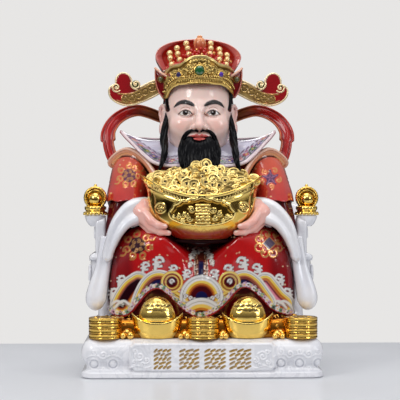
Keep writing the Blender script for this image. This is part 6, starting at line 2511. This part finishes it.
    # the rose bud in the middle
    c0 = at(199.7, 44.5, -12) + TO_HEAD
    prof = [(0, -12), (3.0, -11.5), (4.4, -9.0), (6.3, -4.6), (7.3, 0.2), (6.6, 4.4), (4.6, 7.2), (3.4, 7.6), (3.1, 8.0), (3.3, 8.8), (3.0, 9.8), (1.8, 10.6), (0, 10.8)]
    P = curve(np.asarray(prof, float), 70)
    P[:, 0] = np.maximum(P[:, 0], 0)
    V, F = lathe(P, 84, c0, 0.92, lambda a_, z_: 0.075 * (np.abs(np.cos(a_ * 3.5 + z_ * 0.05)) ** 0.6 - 0.6) * (1 - step(4, 9, z_)))
    hh = V[:, 2] - c0[2]
    col = np.zeros((len(V), 4))
    col[:, :3] = mix(np.array(srgb(196, 76, 52)), np.array(srgb(226, 150, 96)), step(-6, 8, hh)[:, None])
    ang = np.abs(np.cos(np.arctan2(V[:, 1] - c0[1], V[:, 0] - c0[0]) * 3.5 + hh * 0.05))
    col[:, :3] = mix(col[:, :3], np.array(srgb(150, 36, 30)), (0.7 * (1 - step(0.10, 0.35, ang)) * (1 - step(5, 9, hh)))[:, None])
    s.add((V, F), col)
    s.build("hat_rims", M_peach, "skin_glaze", ("figure",), sharp=60, dx=HX)


crown_piece()

PEARLS = [(186.3, 43.8, -8), (187.8, 48.6, -13), (189.0, 54.6, -20), (177.1, 48.4, -8), (177.9, 53.9, -14), (179.8, 59.9, -22), (169.8, 53.4, -7), (170.4, 58.2, -12), (171.6, 64.6, -20),
          (210.6, 43.8, -8), (210.8, 48.6, -13), (210.0, 54.0, -20), (219.2, 49.7, -8), (220.0, 54.2, -14), (219.2, 59.7, -22), (226.8, 55.4, -7), (227.2, 59.7, -12), (226.2, 64.8, -20)]


def across_head(V, m):
    """The same place on the other side of the head for m = -1."""
    return np.asarray(V, float) if m == 1 else np.asarray(V, float) * [-1, 1, 1] + [2 * HX, 0, 0]


def pearl_pieces():
    s, g, st = Soup(), Soup(), Soup()
    for i, (u, v, y) in enumerate(PEARLS):
        c0 = at(u, v, y)
        r = 3.75 if i % 3 == 0 else 3.45
        s.add(egg(c0, (r, r, r), 24, 14), (*srgb(246, 208, 146), 0.5))
        # a small gilt cup below and a cap on the crown of each pearl
        s.add(lathe([(0, -1.0), (1.9, -0.9), (2.4, 0.2), (1.7, 0.9), (0, 1.0)], 16, c0 + [0, 0.2, -r - 0.1]), (*srgb(220, 170, 96), 0.8))
        # its red stem, down into the hat
        foot = [c0[0] * 0.93, c0[1] + 6.0, 356 - 0.010 * c0[0] ** 2]
        p = curve([c0 + [0, 0.4, -r * 0.7], c0 + [0, 2.5, -r - 3.0], foot], 16)
        st.add(tube(p, 1.15, 8, (0, 1, 0)), (*srgb(170, 24, 22), 0.0))
    # a bank of small red and gilt buds at the feet of the stems
    r = np.random.default_rng(5)
    for i in range(46):
        t = (i + 0.5) / 46 * 2 - 1
        u = 199.8 + t * 33
        vt = float(np.interp(u, TOP_EDGE[:, 0], TOP_EDGE[:, 1]))
        c0 = at(u + r.normal() * 0.4, vt - 1.6 - 2.6 * (i % 3) + r.normal() * 0.3, -33 + 20 * abs(t) ** 2 + 6 * (i % 3))
        st.add(egg(c0, (1.7, 1.7, 2.1), 10, 7), (*(srgb(190, 34, 28) if i % 4 else srgb(226, 160, 90)), 0.0 if i % 4 else 0.6))
    s.build("pearls", M_pearl, "pearl", ("figure",), sharp=80)
    st.build("pearl_stems", M_enamel, "red_glaze", ("figure",), sharp=70)
    cols = [srgb(10, 92, 44), srgb(40, 30, 92), srgb(84, 40, 170), srgb(150, 60, 60), srgb(150, 60, 60)]
    for (c0, nrm, rr), col in zip(STONES, cols):
        # cut stone: a table, a ring of facets and a girdle
        prof = [(0, 0), (rr * 0.97, 0.2), (rr * 0.95, 1.3), (rr * 0.80, rr * 0.42 + 0.9), (rr * 0.5, rr * 0.60 + 0.9), (0, rr * 0.62 + 0.9)]
        Vb, Fb = lathe(prof, 12)
        g.add((to_normal(Vb, nrm, c0), Fb), (*col, 0.0))
    for m in (-1, 1):
        c0 = across_head(at(160.7, 79.2, -15.5), -m)
        Vb, Fb = lathe([(0, 0), (2.8, 0.2), (2.6, 1.4), (1.5, 2.4), (0, 2.7)], 12)
        g.add((to_normal(Vb, np.array([0, -1.0, 0]), c0), Fb), (*srgb(96, 96, 60), 0.0))
    g.build("gems", M_gem, "gem", ("figure",), sharp=12)
    q = Soup()
    for m in (-1, 1):
        c0 = across_head(at(160.7, 79.2, -15.2), -m)
        Vb, Fb = lathe([(0, -2.4), (3.2, -2.2), (3.9, -0.2), (3.6, 0.8), (3.1, 1.1), (2.8, 0.6), (0, 0.5)], 28)
        q.add((to_normal(Vb, np.array([0, -1.0, 0]), c0), Fb), srgb(150, 108, 56), 0.8)
        for j in range(12):
            w = j / 12 * 2 * PI
            q.add((to_normal(egg((math.cos(w) * 3.9, math.sin(w) * 3.9, 0.2), (0.5, 0.5, 0.5), 8, 5)[0], np.array([0, -1.0, 0]), c0), egg((0, 0, 0), (1, 1, 1), 8, 5)[1]), srgb(160, 120, 64), 0.9)
    q.build("flap_settings", M_antique, "antique_gilt", ("figure",), sharp=50)


pearl_pieces()


def wing_pieces():
    """Wings of the hat: a red panel in a gilt wire that ends in two curls."""
    W = lambda u, v, y=-4.0: at(u, v, y)
    out = curve([(157.4, 79.6), (149.5, 82.6), (141.6, 86.6), (136.5, 89.0), (131.6, 85.6), (130.8, 79.4), (127.8, 74.9), (123.6, 73.2), (118.8, 74.9), (116.2, 79.6), (114.6, 84.0), (110.6, 87.0), (109.0, 91.6), (110.8, 97.2), (115.2, 101.3), (121, 104.0), (127.4, 105.1), (134, 104.2), (143, 101.2), (151, 97.6), (158.6, 93.4)], 160)
    o = at_each(out[:, 0], out[:, 1], np.full(len(out), -4.0))[:, [0, 2]]
    V, F = plate(o, -5.5, -2.5, 0.85, 0.9)
    V, F, N = outward(V, F)
    for m, name in ((1, "left"), (-1, "right")):
        s = Soup()
        Vm = across_head(V, m)
        Fm = F if m == 1 else flipped(F)
        U_, V_ = seen(V)
        # filigree panel: ovals with a floret, drawn the same on both faces
        base = np.zeros((len(V), 4))
        base[:, :3] = mix(mix(np.array(srgb(150, 12, 22)), np.array(srgb(84, 34, 18)), step(126, 138, U_)[:, None]), np.array(srgb(168, 140, 84)), step(138, 150, U_)[:, None])
        b = Brush(U_, V_, base)
        gold = srgb(206, 166, 92)
        for (cu, cv, ru, rv) in ((152.2, 88.0, 4.2, 4.2), (145.2, 91.8, 3.9, 4.0), (138.6, 95.4, 3.6, 3.9), (132.2, 97.8, 3.5, 3.9), (125.6, 98.8, 3.6, 3.8)):
            e = np.abs(np.hypot((b.U - cu) / ru, (b.V - cv) / rv) - 1) * min(ru, rv)
            b.put(1 - step(0.45, 0.9, e), gold, 0.8, 0.55)
            b.put(0.8 * (1 - step(0.75, 0.9, np.hypot((b.U - cu) / ru, (b.V - cv) / rv))), srgb(70, 40, 20), 0.2, -0.1)
            for j in range(5):
                q = j / 5 * 2 * PI + 0.4
                b.disc(cu + 1.7 * math.cos(q), cv + 1.7 * math.sin(q), 0.8, gold, 0.8, 0.5)
            b.disc(cu, cv, 0.6, gold, 0.8, 0.6)
        b.line(curve([(158, 95.6), (148, 99.0), (136, 102.6), (126, 103.4), (117, 100.6)], 30), 0.8, gold, 0.8, 0.5)
        b.line(curve([(157, 82.6), (148.6, 85.6), (141.4, 89.0), (134.4, 92.6), (126, 94.2), (118, 93.8)], 30), 0.8, gold, 0.8, 0.5)
        for k in range(11):
            b.disc(117 + k * 3.9, 101.8 + 0.0 * k - 0.012 * (k - 2) ** 2 * 6, 0.55, gold, 0.8, 0.4)
        s.add((Vm + N * [m, 1, 1] * b.h[:, None], Fm), b.c)
        for cu, cv, r, col in ((135.9, 84.3, 4.9, srgb(40, 76, 44)), (116.2, 87.4, 4.5, srgb(44, 62, 34))):
            Ve, Fe = egg(at(cu, cv, -4.0), (r, 1.75, r), 30, 12)
            s.add((across_head(Ve, m), Fe if m == 1 else flipped(Fe)), (*col, 0.0))
        s.build("wing_panel_" + name, M_enamel, "red_glaze", ("hat_wing_" + name,), sharp=45)

        g = Soup()
        wire = lambda pts, n_: np.stack([at(u, v, y) for u, v, y in curve(pts, n_)])
        Y0 = -4.0
        def coil(cu, cv, r0, r1, turns, start, hand):
            p = spiral(cu, cv, r0, r1, turns, start, 60, hand)
            t = np.linspace(0, 1, len(p))
            return at_each(p[:, 0], p[:, 1], Y0 - 2.0 + 0.9 * t), np.interp(t, [0, 0.1, 1], [1.0, 1.0, 1.2])
        parts = []
        parts.append(coil(135.9, 84.3, 1.0, 5.1, 1.35, 1.2, 1))
        parts.append(coil(116.2, 87.4, 0.9, 4.7, 1.35, 3.0, -1))
        edge = [(158.2, 79.2), (150, 82.4), (145, 84.9), (140.6, 87.2)]
        parts.append((wire([(u, v, Y0 - 0.6) for u, v in edge], 24), 1.2))
        edge = [(158.2, 81.8), (150, 85.0), (143, 88.4), (138, 90.2), (133.2, 88.8)]
        parts.append((wire([(u, v, Y0 - 0.9) for u, v in edge], 24), 0.8))
        lobe = [(131.6, 82.6), (130.9, 79.0), (128.2, 75.2), (123.7, 73.1), (118.9, 74.8), (116.2, 79.0), (115.9, 83.2)]
        parts.append((wire([(u, v, Y0 - 0.4) for u, v in lobe], 50), 1.2))
        rim_ = [(112.6, 85.4), (109.6, 88.6), (109.2, 93.0), (111.2, 97.8), (115.4, 101.5), (121.4, 104.2), (127.4, 105.2), (134.2, 104.3), (143, 101.3), (151, 97.7), (159.4, 93.2)]
        parts.append((wire([(u, v, Y0 - 0.4) for u, v in rim_], 90), 1.25))
        for P, r in parts:
            Vt, Ft = tube(P, r, 10, (0, 1, 0))
            g.add((across_head(Vt, m), Ft if m == 1 else flipped(Ft)), srgb(252, 230, 184), 0.75, turn=False)
            Vt2 = (Vt - [0, -4.0, 0]) * [1, -1, 1] + [0, -4.0, 0]
            if len(P) == 60:
                g.add((across_head(Vt2, m), flipped(Ft) if m == 1 else Ft), srgb(252, 230, 184), 0.75, turn=False)
        # eyes of the curls
        for cu, cv, r in ((135.9, 84.3, 1.5), (116.2, 87.4, 1.4)):
            for yy in (Y0 - 2.2, Y0 + 2.2):
                Ve, Fe = egg(at(cu, cv, yy), (r, 1.2, r), 14, 8)
                g.add((across_head(Ve, m), Fe if m == 1 else flipped(Fe)), srgb(252, 230, 184), 0.75, turn=False)
        # tongue that enters the hat
        Vc, Fc = cone_box([*W(158.5, 86.4)], 7.0, 5.0, 12.0)
        g.add((across_head(Vc, m), Fc if m == 1 else flipped(Fc)), srgb(220, 190, 120), 0.9, turn=False)
        g.build("wing_wire_" + name, M_wire, "bright_gilt", ("hat_wing_" + name,), sharp=60)


def cone_box(c, hx, hy, hz):
    cx, cy = superloop(40, 3.0, hy / 2, hz / 2)
    xs = np.linspace(-hx / 2, hx / 2, 8)
    k = np.interp(xs, [-hx / 2, -hx / 2 + 0.8, hx / 2 - 0.8, hx / 2], [0.8, 1, 1, 0.8])
    R = np.stack([np.broadcast_to((c[0] + xs)[:, None], (8, 40)), c[1] + cx[None] * k[:, None], c[2] + cy[None] * k[:, None]], -1)
    V, F = loft(R)
    if signed_volume(V, F) < 0:
        F = flipped(F)
    return V, F


M_wire = material("pale_gilt_wire", rough=0.20, var=0.08, size=120, rvar=0.04, bump=0.02, bsize=400, gilt_rough=0.42)
wing_pieces()
